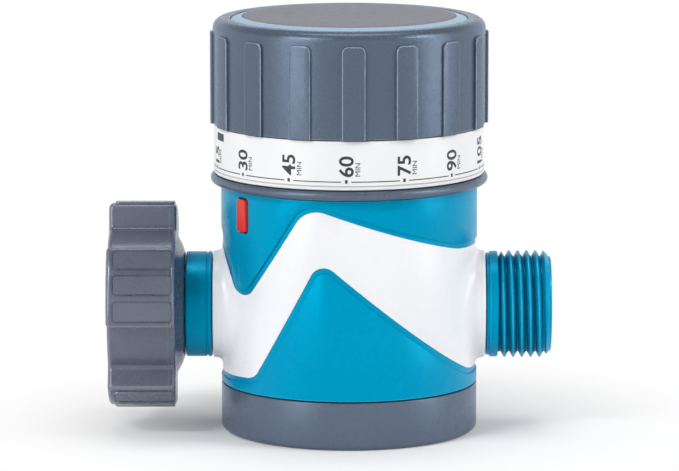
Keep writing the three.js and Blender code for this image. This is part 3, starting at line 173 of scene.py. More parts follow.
class TimerColours(bpy.types.PropertyGroup):
    """Base colours of the mouldings, as linear values."""

    housing: colour_property("Housing", "Teal of the barrel and pipe", (0.0, 0.3, 0.515))
    casing: colour_property("Casing", "Slate grey of the knob", (0.094, 0.117, 0.161))
    # the foot's slate is the casing's slate made lighter: painted light, as the floor lights the base more
    foot: colour_property("Foot", "Lighter slate grey of the base and the flange", (0.10716, 0.13338, 0.18354))
    trim: colour_property("Trim", "White of the side bands", (0.85, 0.86, 0.89))
    dial: colour_property("Dial", "White of the scale ring", (0.83, 0.84, 0.845))
    pointer: colour_property("Pointer", "Red of the pointer", (0.68, 0.028, 0.02))
    accent: colour_property("Accent", "Pale blue of the ring on the knob", (0.34, 0.49, 0.61))
    printing: colour_property("Printing", "Ink of the scale", (0.022, 0.026, 0.034))


def sizes():
    return bpy.context.scene.timer_sizes


def colours():
    return bpy.context.scene.timer_colours


# ---------------------------------------------------------------- modelling helpers


def take(piece):
    """Makes the piece the only selected and the active object."""
    if bpy.context.object and bpy.context.object.mode != "OBJECT":
        bpy.ops.object.mode_set(mode="OBJECT")
    bpy.ops.object.select_all(action="DESELECT")
    piece.select_set(True)
    bpy.context.view_layer.objects.active = piece


@contextmanager
def editing(piece, mode="VERT"):
    """Edit mode on one piece, with everything selected."""
    take(piece)
    bpy.ops.object.mode_set(mode="EDIT")
    bpy.ops.mesh.select_mode(type=mode)
    bpy.ops.mesh.select_all(action="SELECT")
    yield
    bpy.ops.object.mode_set(mode="OBJECT")


def started(add, name, **options):
    """A new primitive, alone selected, under its piece's name."""
    if bpy.context.object and bpy.context.object.mode != "OBJECT":
        bpy.ops.object.mode_set(mode="OBJECT")
    bpy.ops.object.select_all(action="DESELECT")
    add(**options)
    piece = bpy.context.object
    piece.name = name
    piece.data.name = name
    return piece


def choose(piece, test, kind="EDGE"):
    """In edit mode, selects the edges or faces that pass the test, and says how many there are."""
    mesh = bmesh.from_edit_mesh(piece.data)
    bpy.ops.mesh.select_mode(type=kind)
    bpy.ops.mesh.select_all(action="DESELECT")
    count = 0
    for element in mesh.edges if kind == "EDGE" else mesh.faces:
        if test(element):
            element.select_set(True)
            count += 1
    mesh.select_flush_mode()
    bmesh.update_edit_mesh(piece.data)
    return count


def tidy_mesh(piece):
    """Merges doubled points and turns the faces outwards."""
    with editing(piece):
        bpy.ops.mesh.remove_doubles(threshold=MERGE_DISTANCE)
        bpy.ops.mesh.normals_make_consistent(inside=False)


def fill_open_ends():
    """In edit mode, closes the open ends of a swept shape."""
    bpy.ops.mesh.select_all(action="DESELECT")
    bpy.ops.mesh.select_non_manifold()
    bpy.ops.mesh.fill()


def bevelled(piece, sharper, test, offset, segments=3, **options):
    """Bevels the edges that are sharper than an angle in degrees and whose ends pass the test."""
    def wanted(edge):
        return (len(edge.link_faces) == 2 and edge.calc_face_angle(0) > math.radians(sharper)
                and test([v.co for v in edge.verts]))

    with editing(piece, "EDGE"):
        if not choose(piece, wanted):
            raise RuntimeError(f"{piece.name} has no edge to bevel")
        bpy.ops.mesh.bevel(offset=offset, segments=segments, profile=0.5, affect="EDGES", **options)


def sliced(piece, places):
    """Cuts a flat piece across at these places on X, so that it can be bent."""
    with editing(piece, "EDGE"):
        for x in places:
            bpy.ops.mesh.select_all(action="SELECT")
            bpy.ops.mesh.bisect(plane_co=(x, 0, 0), plane_no=(1, 0, 0))


def wrapped(piece, radius, outwards=1):
    """Bends a flat piece, drawn as (arc length, depth, height), round the upright axis."""
    for vertex in piece.data.vertices:
        s, depth, z = vertex.co
        reach, a = radius + outwards * depth, s / radius
        vertex.co = (reach * math.sin(a), -reach * math.cos(a), z)
    piece.data.update()
    return piece


def applied(piece, kind, **settings):
    """Adds a modifier with these settings and applies it."""
    take(piece)
    modifier = piece.modifiers.new(kind.title(), kind)
    for key, value in settings.items():
        setattr(modifier, key, value)
    bpy.ops.object.modifier_apply(modifier=modifier.name)


def boolean(piece, tool, operation):
    """Combines the piece with a tool, which is used up."""
    applied(piece, "BOOLEAN", object=tool, operation=operation, solver="MANIFOLD")
    bpy.data.objects.remove(tool)
    if not piece.data.polygons:
        raise RuntimeError(f"{piece.name} is empty after a boolean")
    return piece


def cut(piece, *tools):
    for tool in tools:
        boolean(piece, tool, "DIFFERENCE")


def united(piece, *others):
    for other in others:
        boolean(piece, other, "UNION")
    return piece


def joined(piece, *others):
    take(piece)
    for other in others:
        other.select_set(True)
    bpy.ops.object.join()
    return piece


def copied(piece, name, matrix=Matrix.Identity(4)):
    """A copy with its own mesh, moved by the matrix."""
    twin = piece.copy()
    twin.data = piece.data.copy()
    twin.name = twin.data.name = name
    bpy.context.scene.collection.objects.link(twin)
    twin.data.transform(matrix)
    return twin


def smooth(piece, angle):
    """Shades the piece smooth, except at edges sharper than the angle in degrees."""
    take(piece)
    bpy.ops.object.shade_smooth_by_angle(angle=math.radians(angle))
    return piece


def mark_highlight_edges(piece, angle, width=0.3 * MM, wide=0.0):
    """Marks the narrow faces of small rounded edges, so that a finish can paint a highlight on them; wider ones get
    less.
    """
    partly = 0.35
    mesh = bmesh.new()
    mesh.from_mesh(piece.data)
    mesh.faces.ensure_lookup_table()
    limit = math.radians(angle)
    marks = []
    for face in mesh.faces:
        convex = sum(1 for e in face.edges if len(e.link_faces) == 2 and e.calc_face_angle_signed(0) > limit)
        across = face.calc_area() / max(e.calc_length() for e in face.edges)
        marks.append(0.0 if convex < 2 else 1.0 if across < width else partly if across < wide else 0.0)
    mesh.free()
    # the marks say where the painted edge highlight goes
    attribute = piece.data.attributes.new("painted_edge_highlight", "FLOAT", "FACE")
    attribute.data.foreach_set("value", marks)


def arc(centre, radius, start, end, steps):
    """Points on an arc in a plane, angles in degrees."""
    points = []
    for i in range(steps + 1):
        a = math.radians(start + (end - start) * i / steps)
        points.append((centre[0] + radius * math.cos(a), centre[1] + radius * math.sin(a)))
    return points


def rounded(corners, spacing=0.35 * MM):
    """An outline through (x, y, rounding) corners, with arcs at the rounded ones."""
    points = []
    count = len(corners)
    for i, (x, y, radius) in enumerate(corners):
        here = Vector((x, y))
        if radius <= 0:
            points.append((x, y))
            continue
        back = (Vector(corners[i - 1][:2]) - here).normalized()
        ahead = (Vector(corners[(i + 1) % count][:2]) - here).normalized()
        half = back.angle(ahead) / 2
        centre = here + (back + ahead).normalized() * radius / math.sin(half)
        start = here + back * radius / math.tan(half) - centre
        turn = math.pi - 2 * half
        side = 1 if back.x * ahead.y - back.y * ahead.x < 0 else -1
        steps = max(3, round(radius * turn / spacing))
        for k in range(steps + 1):
            spoke = start.copy()
            spoke.rotate(Matrix.Rotation(side * turn * k / steps, 2))
            points.append(tuple(centre + spoke))
    return points


def grown(corners, distance):
    """The outline's corners moved outwards, with their roundings kept concentric."""
    moved = []
    count = len(corners)
    for i, (x, y, radius) in enumerate(corners):
        before, after = corners[i - 1], corners[(i + 1) % count]
        into = Vector((x - before[0], y - before[1])).normalized()
        out = Vector((after[0] - x, after[1] - y)).normalized()
        n1, n2 = Vector((into.y, -into.x)), Vector((out.y, -out.x))
        shift = (n1 + n2) * distance / (1 + n1.dot(n2))
        turn = n1.x * n2.y - n1.y * n2.x
        rounding = max(0.0, radius + math.copysign(distance, turn)) if radius else 0.0
        moved.append((x + shift.x, y + shift.y, rounding))
    return moved


def turned(name, profile, steps=ROUND, along_pipe=False, closed=True):
    """A turned piece: points (radius, height) extruded one by one from a start point, then spun round the axis.
    Along the pipe, height is the place on X."""
    def place(point):
        radius, height = point
        return Vector((height, 0, PIPE_Z + radius)) if along_pipe else Vector((radius, 0, height))

    piece = started(bpy.ops.mesh.primitive_plane_add, name, size=MM)
    path = [place(p) for p in profile]
    if closed:
        path.append(path[0])
    with editing(piece):
        bpy.ops.mesh.merge(type="CENTER")
        bpy.ops.transform.translate(value=path[0])
        for a, b in zip(path, path[1:]):
            bpy.ops.mesh.extrude_vertices_move(TRANSFORM_OT_translate={"value": b - a})
        bpy.ops.mesh.select_all(action="SELECT")
        centre, axis = ((0, 0, PIPE_Z), (1, 0, 0)) if along_pipe else ((0, 0, 0), (0, 0, 1))
        bpy.ops.mesh.spin(steps=steps, angle=FULL_TURN, center=centre, axis=axis)
    tidy_mesh(piece)
    return piece


def piped(name, profile, steps=PIPE_ROUND, closed=False):
    """A piece turned on the pipe's axis: points (radius, place on X)."""
    return turned(name, profile, steps, along_pipe=True, closed=closed)


def rod(name, radius, start, end, steps=BORE_ROUND, along_pipe=False):
    return turned(name, [(0, start), (radius, start), (radius, end), (0, end)], steps, along_pipe, closed=False)


def prism(name, outline, start, end, along="Y"):
    """A flat outline, filled and extruded along an axis. Along Y the outline is (x, z), along X (y, z)."""
    piece = started(bpy.ops.mesh.primitive_circle_add, name, vertices=len(outline), radius=MM, fill_type="NGON")
    for vertex, (u, v) in zip(piece.data.vertices, outline):
        vertex.co = (u, start, v) if along == "Y" else (start, u, v)
    way = (0, end - start, 0) if along == "Y" else (end - start, 0, 0)
    with editing(piece, "FACE"):
        bpy.ops.mesh.extrude_region_move(TRANSFORM_OT_translate={"value": way})
    tidy_mesh(piece)
    return piece


def lofted(name, rows):
    """A tube through closed rows of points, from a grid of as many vertices; its open ends are filled."""
    across, along = len(rows[0]), len(rows)
    piece = started(bpy.ops.mesh.primitive_grid_add, name, size=MM,
                    x_subdivisions=across - 1, y_subdivisions=along - 1)
    for i, row in enumerate(rows):
        for j, point in enumerate(row):
            piece.data.vertices[i * across + j].co = point
    with editing(piece):
        bpy.ops.mesh.remove_doubles(threshold=1e-7)
        fill_open_ends()
        bpy.ops.mesh.select_all(action="SELECT")
        bpy.ops.mesh.normals_make_consistent(inside=False)
    return piece


def finished(piece, finish_name, body, slot, *nodes):
    """Gives a piece its finish and its body, and hides the CAD nodes that it stands for. The slot is not used."""
    painted(piece, finish_name)
    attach(piece, body)
    if nodes:
        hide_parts(*nodes)


# ---------------------------------------------------------------- finishes

GREY = (0.5, 0.5, 0.5, 1)


def node(tree, kind, links=(), **values):
    """A shader node with its settings, its input values and what feeds them."""
    made = tree.nodes.new(kind)
    for key, value in values.items():
        setattr(made, key, value)
    for name, source in dict(links).items():
        if isinstance(source, bpy.types.NodeSocket):
            tree.links.new(source, made.inputs[name])
        else:
            made.inputs[name].default_value = source
    return made


def maths(tree, operation, first, second, **settings):
    return node(tree, "ShaderNodeMath", {0: first, 1: second}, operation=operation, **settings).outputs[0]


def ranged(tree, value, start, end, least, most, **settings):
    """Turns the range from start to end into the range from least to most."""
    return node(tree, "ShaderNodeMapRange", {"Value": value, "From Min": start, "From Max": end,
                                             "To Min": least, "To Max": most}, **settings).outputs[0]


def noise(tree, place, scale, detail, roughness=0.5):
    return node(tree, "ShaderNodeTexNoise", {"Vector": place, "Scale": scale, "Detail": detail,
                                             "Roughness": roughness}).outputs["Fac"]


def toned(tree, colour, value):
    return node(tree, "ShaderNodeHueSaturation", {"Color": colour, "Value": value}).outputs[0]


def colour_mix(tree, amount, first, second):
    return node(tree, "ShaderNodeMix", {"Factor": amount, 6: first, 7: second}, data_type="RGBA").outputs[2]


def object_place(tree):
    return tree.nodes.new("ShaderNodeTexCoord").outputs["Object"]


def moulded_surface(tree, inside):
    """Cloudy colour, fine grain and a slightly uneven gloss."""
    place = object_place(tree)
    cloud = ranged(tree, noise(tree, place, 55.0, 3.0), 0.3, 0.7, -1.0, 1.0)
    grain = noise(tree, place, inside["Grain Size"], 2.0, 0.6)
    speck = ranged(tree, grain, 0.3, 0.7, -0.06, 0.06)
    smear = ranged(tree, noise(tree, place, 420.0, 4.0), 0.35, 0.65, -0.03, 0.04)
    value = maths(tree, "ADD", maths(tree, "MULTIPLY", cloud, inside["Cloud"]), 1.0)
    uneven = maths(tree, "ADD", speck, smear)
    return {"Color": toned(tree, inside["Color"], value),
            "Roughness": maths(tree, "ADD", inside["Roughness"], uneven, use_clamp=True),
            "Height": maths(tree, "MULTIPLY", grain, inside["Grain"])}


def painted_edge_highlight(tree, inside):
    """Painted highlight: a paler line along the small rounded edges, where the lights would glint."""
    edge = node(tree, "ShaderNodeAttribute", attribute_name="painted_edge_highlight", attribute_type="GEOMETRY")
    breaks = ranged(tree, noise(tree, object_place(tree), 260.0, 2.0), 0.35, 0.6, 0.55, 1.0)
    mask = maths(tree, "MULTIPLY", edge.outputs["Fac"], maths(tree, "MULTIPLY", breaks, inside["Amount"]))
    return {"Color": colour_mix(tree, mask, inside["Color"], inside["Edge Highlight Color"])}


def drawn_metal(tree, inside):
    """Faint streaks of drawn or turned metal, in its colour and in its gloss."""
    stretched = node(tree, "ShaderNodeMapping", {"Vector": object_place(tree), "Scale": (300.0, 300.0, 4000.0)})
    streaks = noise(tree, stretched.outputs[0], 1.0, 3.0)
    swing = maths(tree, "MULTIPLY", maths(tree, "SUBTRACT", streaks, 0.5), inside["Streak"])
    return {"Color": toned(tree, inside["Color"], ranged(tree, streaks, 0.0, 1.0, 0.85, 1.1)),
            "Roughness": maths(tree, "ADD", swing, inside["Roughness"], use_clamp=True)}


# Each shared effect: what builds it, its inputs and its outputs.
EFFECTS = {
    "Moulded Surface": (moulded_surface,
                        {"Color": GREY, "Cloud": 0.04, "Grain Size": 4000.0, "Grain": 0.5, "Roughness": 0.4},
                        {"Color": GREY, "Roughness": 0.4, "Height": 0.0}),
    "Painted Edge Highlight": (painted_edge_highlight, {"Color": GREY, "Edge Highlight Color": GREY, "Amount": 0.5}, {"Color": GREY}),
    "Drawn Metal": (drawn_metal, {"Color": GREY, "Roughness": 0.3, "Streak": 0.12},
                    {"Color": GREY, "Roughness": 0.3}),
}


def effect_group(name):
    """The node group of a shared effect, built the first time that it is asked for."""
    group = bpy.data.node_groups.get(name)
    if group:
        return group
    group = bpy.data.node_groups.new(name, "ShaderNodeTree")
    build, inputs, outputs = EFFECTS[name]
    for direction, sockets in (("INPUT", inputs), ("OUTPUT", outputs)):
        for label, default in sockets.items():
            kind = "NodeSocketColor" if isinstance(default, tuple) else "NodeSocketFloat"
            socket = group.interface.new_socket(name=label, in_out=direction, socket_type=kind)
            socket.default_value = default
    results = build(group, group.nodes.new("NodeGroupInput").outputs)
    out = group.nodes.new("NodeGroupOutput")
    for label, source in results.items():
        group.links.new(source, out.inputs[label])
    return group


def effect(tree, name, values):
    """Places a shared effect in a material, with its own values."""
    return node(tree, "ShaderNodeGroup", values, node_tree=effect_group(name)).outputs


def paint_thread_root_shade(tree, colour):
    """Painted shade: darkens the hose thread towards its roots, where less light reaches."""
    centred = node(tree, "ShaderNodeMapping", {"Vector": object_place(tree), "Location": (0, 0, -PIPE_Z)})
    parts = node(tree, "ShaderNodeSeparateXYZ", {"Vector": centred.outputs[0]}).outputs
    across = node(tree, "ShaderNodeCombineXYZ", {"Y": parts["Y"], "Z": parts["Z"]})
    radius = node(tree, "ShaderNodeVectorMath", {0: across.outputs[0]}, operation="LENGTH").outputs["Value"]
    root = ranged(tree, radius, THREAD_MAJOR_R - 0.3 * MM, THREAD_ROOT_R + 0.1 * MM, 0.0, 0.62)
    past_ring = ranged(tree, parts["X"], RING_END, RING_END + 0.2 * MM, 0.0, 1.0)
    before_end = ranged(tree, parts["X"], OUTLET_END - 2.2 * MM, OUTLET_END - 2.6 * MM, 0.0, 1.0)
    amount = maths(tree, "MULTIPLY", maths(tree, "MULTIPLY", past_ring, before_end), root)
    # the dark colour mixed in here is painted shade in the thread's roots
    return colour_mix(tree, amount, colour, (0.0, 0.04, 0.1, 1))


def moulded(tree, shader, colour, roughness, cloud=0.03, grain=0.5, grain_size=4000.0, depth=0.02, coat=0.0,
            specular=0.5, tint=(1, 1, 1), flake=0.0, shading=None, edge=None, edge_highlight_amount=0.5):
    """A moulded plastic. Depth is the grain's, in millimetres; edge is the colour of a painted highlight on its small
    rounded edges, and the shading hook adds painted shade.
    """
    # painted shade, where a finish asks for it
    if shading:
        colour = shading(tree, colour)
    # painted highlight along the marked edges
    if edge:
        colour = effect(tree, "Painted Edge Highlight", {"Color": colour, "Edge Highlight Color": (*edge, 1),
                                                "Amount": edge_highlight_amount})["Color"]
    surface = effect(tree, "Moulded Surface", {"Color": colour, "Cloud": cloud, "Grain Size": grain_size,
                                               "Grain": grain, "Roughness": roughness})
    bump = node(tree, "ShaderNodeBump", {"Strength": 0.5, "Distance": depth * MM, "Height": surface["Height"]})
    tree.links.new(surface["Color"], shader.inputs["Base Color"])
    tree.links.new(surface["Roughness"], shader.inputs["Roughness"])
    tree.links.new(bump.outputs[0], shader.inputs["Normal"])
    for name, value in (("Specular IOR Level", specular), ("Specular Tint", (*tint, 1)), ("Metallic", flake),
                        ("Coat Weight", coat), ("Coat Roughness", 0.12)):
        shader.inputs[name].default_value = value


def metal(tree, shader, colour, roughness):
    """Rolled or turned metal."""
    surface = effect(tree, "Drawn Metal", {"Color": colour, "Roughness": roughness})
    tree.links.new(surface["Color"], shader.inputs["Base Color"])
    tree.links.new(surface["Roughness"], shader.inputs["Roughness"])
    shader.inputs["Metallic"].default_value = 1.0


# Each finish: what makes it, its colour (as values, or a name among the colours) and its settings.
FINISHES = {
    # The teal housing has painted shade in its thread roots; the housing, the casing and the nut have a painted
    # highlight on their small rounded edges.
    "Teal Housing": (moulded, "housing", dict(
        roughness=0.31, cloud=0.02, grain=0.35, depth=0.006, specular=0.25, tint=(0.0, 0.8, 1.0), flake=0.16,
        shading=paint_thread_root_shade, edge=(0.05, 0.5, 0.72), edge_highlight_amount=0.6)),
    "Slate Casing": (moulded, "casing", dict(
        roughness=0.26, cloud=0.035, grain=0.9, grain_size=3400.0, depth=0.09, specular=0.55,
        tint=(0.45, 0.7, 1.0), flake=0.27, edge=(0.34, 0.4, 0.5), edge_highlight_amount=0.62)),
    # the base and flange finish is the casing's slate with painted light from the floor
    "Slate Base Painted Lighter": (moulded, "foot", dict(
        roughness=0.3, cloud=0.035, grain=0.8, grain_size=3400.0, depth=0.08, specular=0.5,
        tint=(0.5, 0.72, 1.0), flake=0.22)),
    "Slate Nut": (moulded, (0.128, 0.143, 0.19), dict(
        roughness=0.24, cloud=0.09, grain=0.8, grain_size=3000.0, depth=0.035, specular=0.55,
        tint=(0.8, 0.85, 1.0), flake=0.2, edge=(0.42, 0.44, 0.5), edge_highlight_amount=0.6)),
    "Slate Cover": (moulded, (0.178, 0.179, 0.218), dict(
        roughness=0.5, cloud=0.04, grain=0.9, grain_size=3000.0, depth=0.07, specular=0.42)),
    "White Trim": (moulded, "trim", dict(roughness=0.32, cloud=0.008, grain=0.3, depth=0.005, coat=0.1)),
    "White Dial": (moulded, "dial", dict(roughness=0.36, cloud=0.01, grain=0.3, depth=0.004)),
    "Scale Ink": (moulded, "printing", dict(roughness=0.5, cloud=0.1, grain=0.6, depth=0.004)),
    "Groove Painted Shade": (moulded, (0.42, 0.43, 0.45), dict(roughness=0.5, cloud=0.06, depth=0.004)),
    "Red Pointer": (moulded, "pointer", dict(roughness=0.34, grain=0.4, depth=0.006, coat=0.1)),
    "Pale Blue Accent": (moulded, "accent", dict(
        roughness=0.42, cloud=0.02, grain=0.4, depth=0.006, specular=0.3)),
    "Seal Rubber": (moulded, (0.012, 0.012, 0.013), dict(
        roughness=0.62, cloud=0.15, grain=1.0, grain_size=2200.0, depth=0.04)),
    "Natural Acetal": (moulded, (0.72, 0.7, 0.62), dict(roughness=0.42, cloud=0.04, grain=0.6, depth=0.015)),
    "Zinc Steel": (metal, (0.5, 0.51, 0.53), dict(roughness=0.3)),
    "Clock Brass": (metal, (0.62, 0.42, 0.16), dict(roughness=0.3)),
}


def finish(name):
    """The material of a finish, made the first time that it is asked for."""
    material = bpy.data.materials.get(name)
    if material:
        return material
    make, colour, settings = FINISHES[name]
    if isinstance(colour, str):
        colour = getattr(colours(), colour)
    material = bpy.data.materials.new(name)
    material.use_nodes = True
    tree = material.node_tree
    shader = next(n for n in tree.nodes if n.type == "BSDF_PRINCIPLED")
    make(tree, shader, (*colour, 1), **settings)
    return material


def painted(piece, finish_name):
    piece.data.materials.clear()
    piece.data.materials.append(finish(finish_name))


# ---------------------------------------------------------------- casing

# Corners of the side band in front view: x, z, rounding. Both ends run out past the collars.
BAND_REACH = BODY_R + 7.8 * MM
BAND_CORNERS = [
    (-BAND_REACH, PIPE_Z - 17.3 * MM, 0),
    (8.6 * MM - BODY_R, PIPE_Z - 15.2 * MM, 3.5 * MM),
    (-7.35 * MM, PIPE_Z + 16.2 * MM, 3.6 * MM),
    (BODY_R - 2 * MM, PIPE_Z - 14.8 * MM, 4 * MM),
    (BAND_REACH, PIPE_Z - 15.2 * MM, 0),
    (BAND_REACH, PIPE_Z + 15.6 * MM, 0),
    (BODY_R - 4.7 * MM, PIPE_Z + 16.7 * MM, 12 * MM),
    (-10.6 * MM, HOUSING_HIGH - 1.7 * MM, 6 * MM),
    (5.3 * MM - BODY_R, PIPE_Z + 2.1 * MM, 2.6 * MM),
    (-BAND_REACH, PIPE_Z + 38.1 * MM, 0),
]
BAND_FIT, POCKET_FIT = -0.04 * MM, 0.06 * MM  # how far the band and its pocket stand off the outline
HALF_GAP = 0.15 * MM  # half the gap between the front and rear bands
BARREL_EDGE = 0.3 * MM  # rounding of the barrel's two outer edges
THREAD_ROUND = 72  # facets in one turn of a thread
POINTER_ANGLE, POINTER_HALF = -55, 3.2  # degrees round the casing
POINTER_LOW, POINTER_HIGH = HOUSING_HIGH - 9.7 * MM, HOUSING_HIGH - 1.6 * MM


def band_prism(name, growth, start=-TOOL_REACH, end=TOOL_REACH):
    """The outline of the bands, grown and extruded through the casing."""
    return prism(name, rounded(grown(BAND_CORNERS, growth)), start, end)


def pointer_prism(name, growth):
    """The outline of the pointer, grown and extruded through the barrel's wall."""
    half = math.radians(POINTER_HALF) * BODY_R + growth
    bottom, top = POINTER_LOW - growth, POINTER_HIGH + growth
    corner = 0.7 * MM + growth
    outline = rounded([(-half, bottom, corner), (half, bottom, corner), (half, top, corner), (-half, top, corner)],
                      0.2 * MM)
    piece = prism(name, outline, -BODY_R - 6 * MM, -BODY_R + 6 * MM)
    piece.data.transform(Matrix.Rotation(math.radians(POINTER_ANGLE), 4, "Z"))
    return piece


def screw_thread(name, start, end, root, crest, crest_width, turns_inward=False):
    """A helical ridge on the pipe axis: its section swept by a screw, with closed ends."""
    pitch = sizes().thread_pitch
    buried = root + (0.4 * MM if turns_inward else -0.4 * MM)
    crown = crest + 0.03 * (crest - root)
    half, land = 0.44 * pitch, crest_width / 2
    section = [(-half, buried), (-half, root), (-land, crest), (0, crown), (land, crest), (half, root), (half, buried)]
    piece = started(bpy.ops.mesh.primitive_circle_add, name, vertices=len(section), radius=MM)
    for vertex, (x, radius) in zip(piece.data.vertices, section):
        vertex.co = (start + x, 0, radius)
    steps = round((end - start) / pitch * THREAD_ROUND)
    turns = steps / THREAD_ROUND
    applied(piece, "SCREW", axis="X", angle=turns * FULL_TURN, screw_offset=turns * pitch,
            steps=steps, render_steps=steps, use_smooth_shade=False)
    with editing(piece):
        fill_open_ends()
    piece.data.transform(Matrix.Translation((0, 0, PIPE_Z)))
    tidy_mesh(piece)
    return piece


def outlet_fitting():
    """The threaded outlet, from the barrel's wall to its end."""
    collar, pitch = COLLAR_END + GAP, sizes().thread_pitch
    core = piped("outlet", [
        (0, FITTING_ROOT), (NECK_R, FITTING_ROOT), (NECK_R, collar), (RING_R - 0.45 * MM, collar),
        (RING_R - 0.45 * MM, COLLAR_END + 1.0 * MM), (RING_R - 0.1 * MM, COLLAR_END + 1.15 * MM),
        (RING_R, COLLAR_END + 1.3 * MM), (RING_R, RING_END - 0.25 * MM), (RING_R - 0.25 * MM, RING_END),
        (THREAD_ROOT_R + 0.3 * MM, RING_END + 0.05 * MM), (THREAD_ROOT_R, RING_END + 0.3 * MM),
        (THREAD_ROOT_R, OUTLET_END - 0.5 * MM), (THREAD_ROOT_R - 0.15 * MM, OUTLET_END - 0.15 * MM),
        (THREAD_ROOT_R - 0.5 * MM, OUTLET_END), (0, OUTLET_END)])
    thread = screw_thread("outlet_thread", RING_END - 0.66 * pitch, OUTLET_END + pitch, THREAD_ROOT_R,
                          THREAD_MAJOR_R, 0.16 * pitch)
    start, end, over = RING_END + 0.35 * MM, OUTLET_END - 0.45 * MM, THREAD_MAJOR_R + 0.1 * MM
    envelope = piped("thread_envelope", [(0, start), (THREAD_ROOT_R, start), (over, start + 0.7 * MM),
                                         (over, end - 1.5 * MM), (THREAD_ROOT_R, end), (0, end)])
    return united(core, boolean(thread, envelope, "INTERSECT"))


def inlet_fitting():
    """The plain inlet pipe with its groove by the collar and the neck that carries the nut."""
    collar, shoulder, groove = COLLAR_END + GAP, INLET_SHOULDER, INLET_PIPE_R - 0.3 * MM
    return piped("inlet", [
        (0, -FITTING_ROOT), (NECK_R, -FITTING_ROOT), (NECK_R, -collar), (INLET_PIPE_R - 0.25 * MM, -collar),
        (INLET_PIPE_R, -collar - 0.25 * MM), (INLET_PIPE_R, -collar - 0.8 * MM),
        (groove, -collar - 1.0 * MM), (groove, -collar - 1.25 * MM),
        (INLET_PIPE_R - 0.05 * MM, -collar - 1.45 * MM), (INLET_PIPE_R - 0.05 * MM, -shoulder + 0.3 * MM),
        (INLET_PIPE_R - 0.35 * MM, -shoulder), (INLET_NECK_R, -shoulder),
        (INLET_NECK_R, -INLET_END + 0.4 * MM), (INLET_NECK_R - 0.4 * MM, -INLET_END), (0, -INLET_END)])


def water_way():
    """Tools that cut both bores, the two halves of the valve chamber and the port between them."""
    reach = 8.5 * MM  # how near the bores come to the middle
    return [
        rod("inlet_bore", INLET_BORE_R, -INLET_END - PAST, -reach, along_pipe=True),
        rod("outlet_bore", OUTLET_BORE_R, reach, OUTLET_END + PAST, along_pipe=True),
        rod("lower_chamber", CHAMBER_R, CHAMBER_LOW - PAST, PARTITION_LOW),
        rod("upper_chamber", CHAMBER_R, PARTITION_HIGH, CHAMBER_HIGH + PAST),
        rod("port", PORT_R, PARTITION_LOW - PAST, PARTITION_HIGH + PAST, 64),
    ]


class TIMER_OT_housing(bpy.types.Operator):
    """Model the barrel with its sunk borders, both pipe ends, the outlet thread and the valve chamber"""

    bl_idname = "timer.housing"
    bl_label = "Housing"

    def execute(self, context):
        size = sizes()
        barrel = turned("barrel", [
            (INNER_R, HOUSING_LOW), *arc((BODY_R - BARREL_EDGE, HOUSING_LOW + BARREL_EDGE), BARREL_EDGE, -90, 0, 4),
            *arc((BODY_R - BARREL_EDGE, HOUSING_HIGH - BARREL_EDGE), BARREL_EDGE, 0, 90, 4), (INNER_R, HOUSING_HIGH)])
        border = band_prism("border", size.border_width)
        cut(border, rod("border_floor", BODY_R - size.border_depth, 0, TOP_FACE, ROUND))
        pocket = band_prism("pocket", POCKET_FIT)
        cut(pocket, rod("pocket_floor", BAND_FLOOR_R, 0, TOP_FACE, ROUND))
        cut(barrel, border)
        # the border's wall becomes a slope
        bevelled(barrel, 40, lambda ends: min(p.xy.length for p in ends) >= BODY_R - 0.02 * MM
                 and HOUSING_LOW + 0.35 * MM < min(p.z for p in ends)
                 and max(p.z for p in ends) < HOUSING_HIGH - 0.35 * MM,
                 0.8 * size.border_depth, 2, clamp_overlap=True)
        mark = pointer_prism("mark_pocket", 0.4 * MM)
        cut(mark, rod("mark_floor", BODY_R - 2.0 * MM, 0, TOP_FACE, PIPE_ROUND))
        cut(barrel, pocket, mark)
        collar_room = rod("collar_room", COLLAR_R + GAP, -COLLAR_END, COLLAR_END, along_pipe=True)
        cut(collar_room, rod("collar_floor", BAND_FLOOR_R, 0, TOP_FACE, ROUND))
        cut(barrel, collar_room)
        sleeve_end = INNER_R + 0.6 * MM
        sleeve = rod("sleeve", INLET_PIPE_R, -sleeve_end, sleeve_end, along_pipe=True)
        boolean(sleeve, rod("sleeve_room", sleeve_end, 0, HOUSING_HIGH, PIPE_ROUND), "INTERSECT")
        united(sleeve, rod("chamber", CHAMBER_R + CHAMBER_WALL, CHAMBER_LOW, CHAMBER_HIGH))
        cut(sleeve, rod("bonnet_room", BONNET_ROOM_R, CHAMBER_HIGH, BONNET_ROOM_HIGH))
        united(barrel, sleeve, outlet_fitting(), inlet_fitting())
        cut(barrel, *water_way())
        tidy_mesh(barrel)
        smooth(barrel, 30)
        # narrow rounded edges get a painted highlight
        mark_highlight_edges(barrel, 9)
        finished(barrel, "Teal Housing", "casing", "housing_teal", "housing")
        return {"FINISHED"}


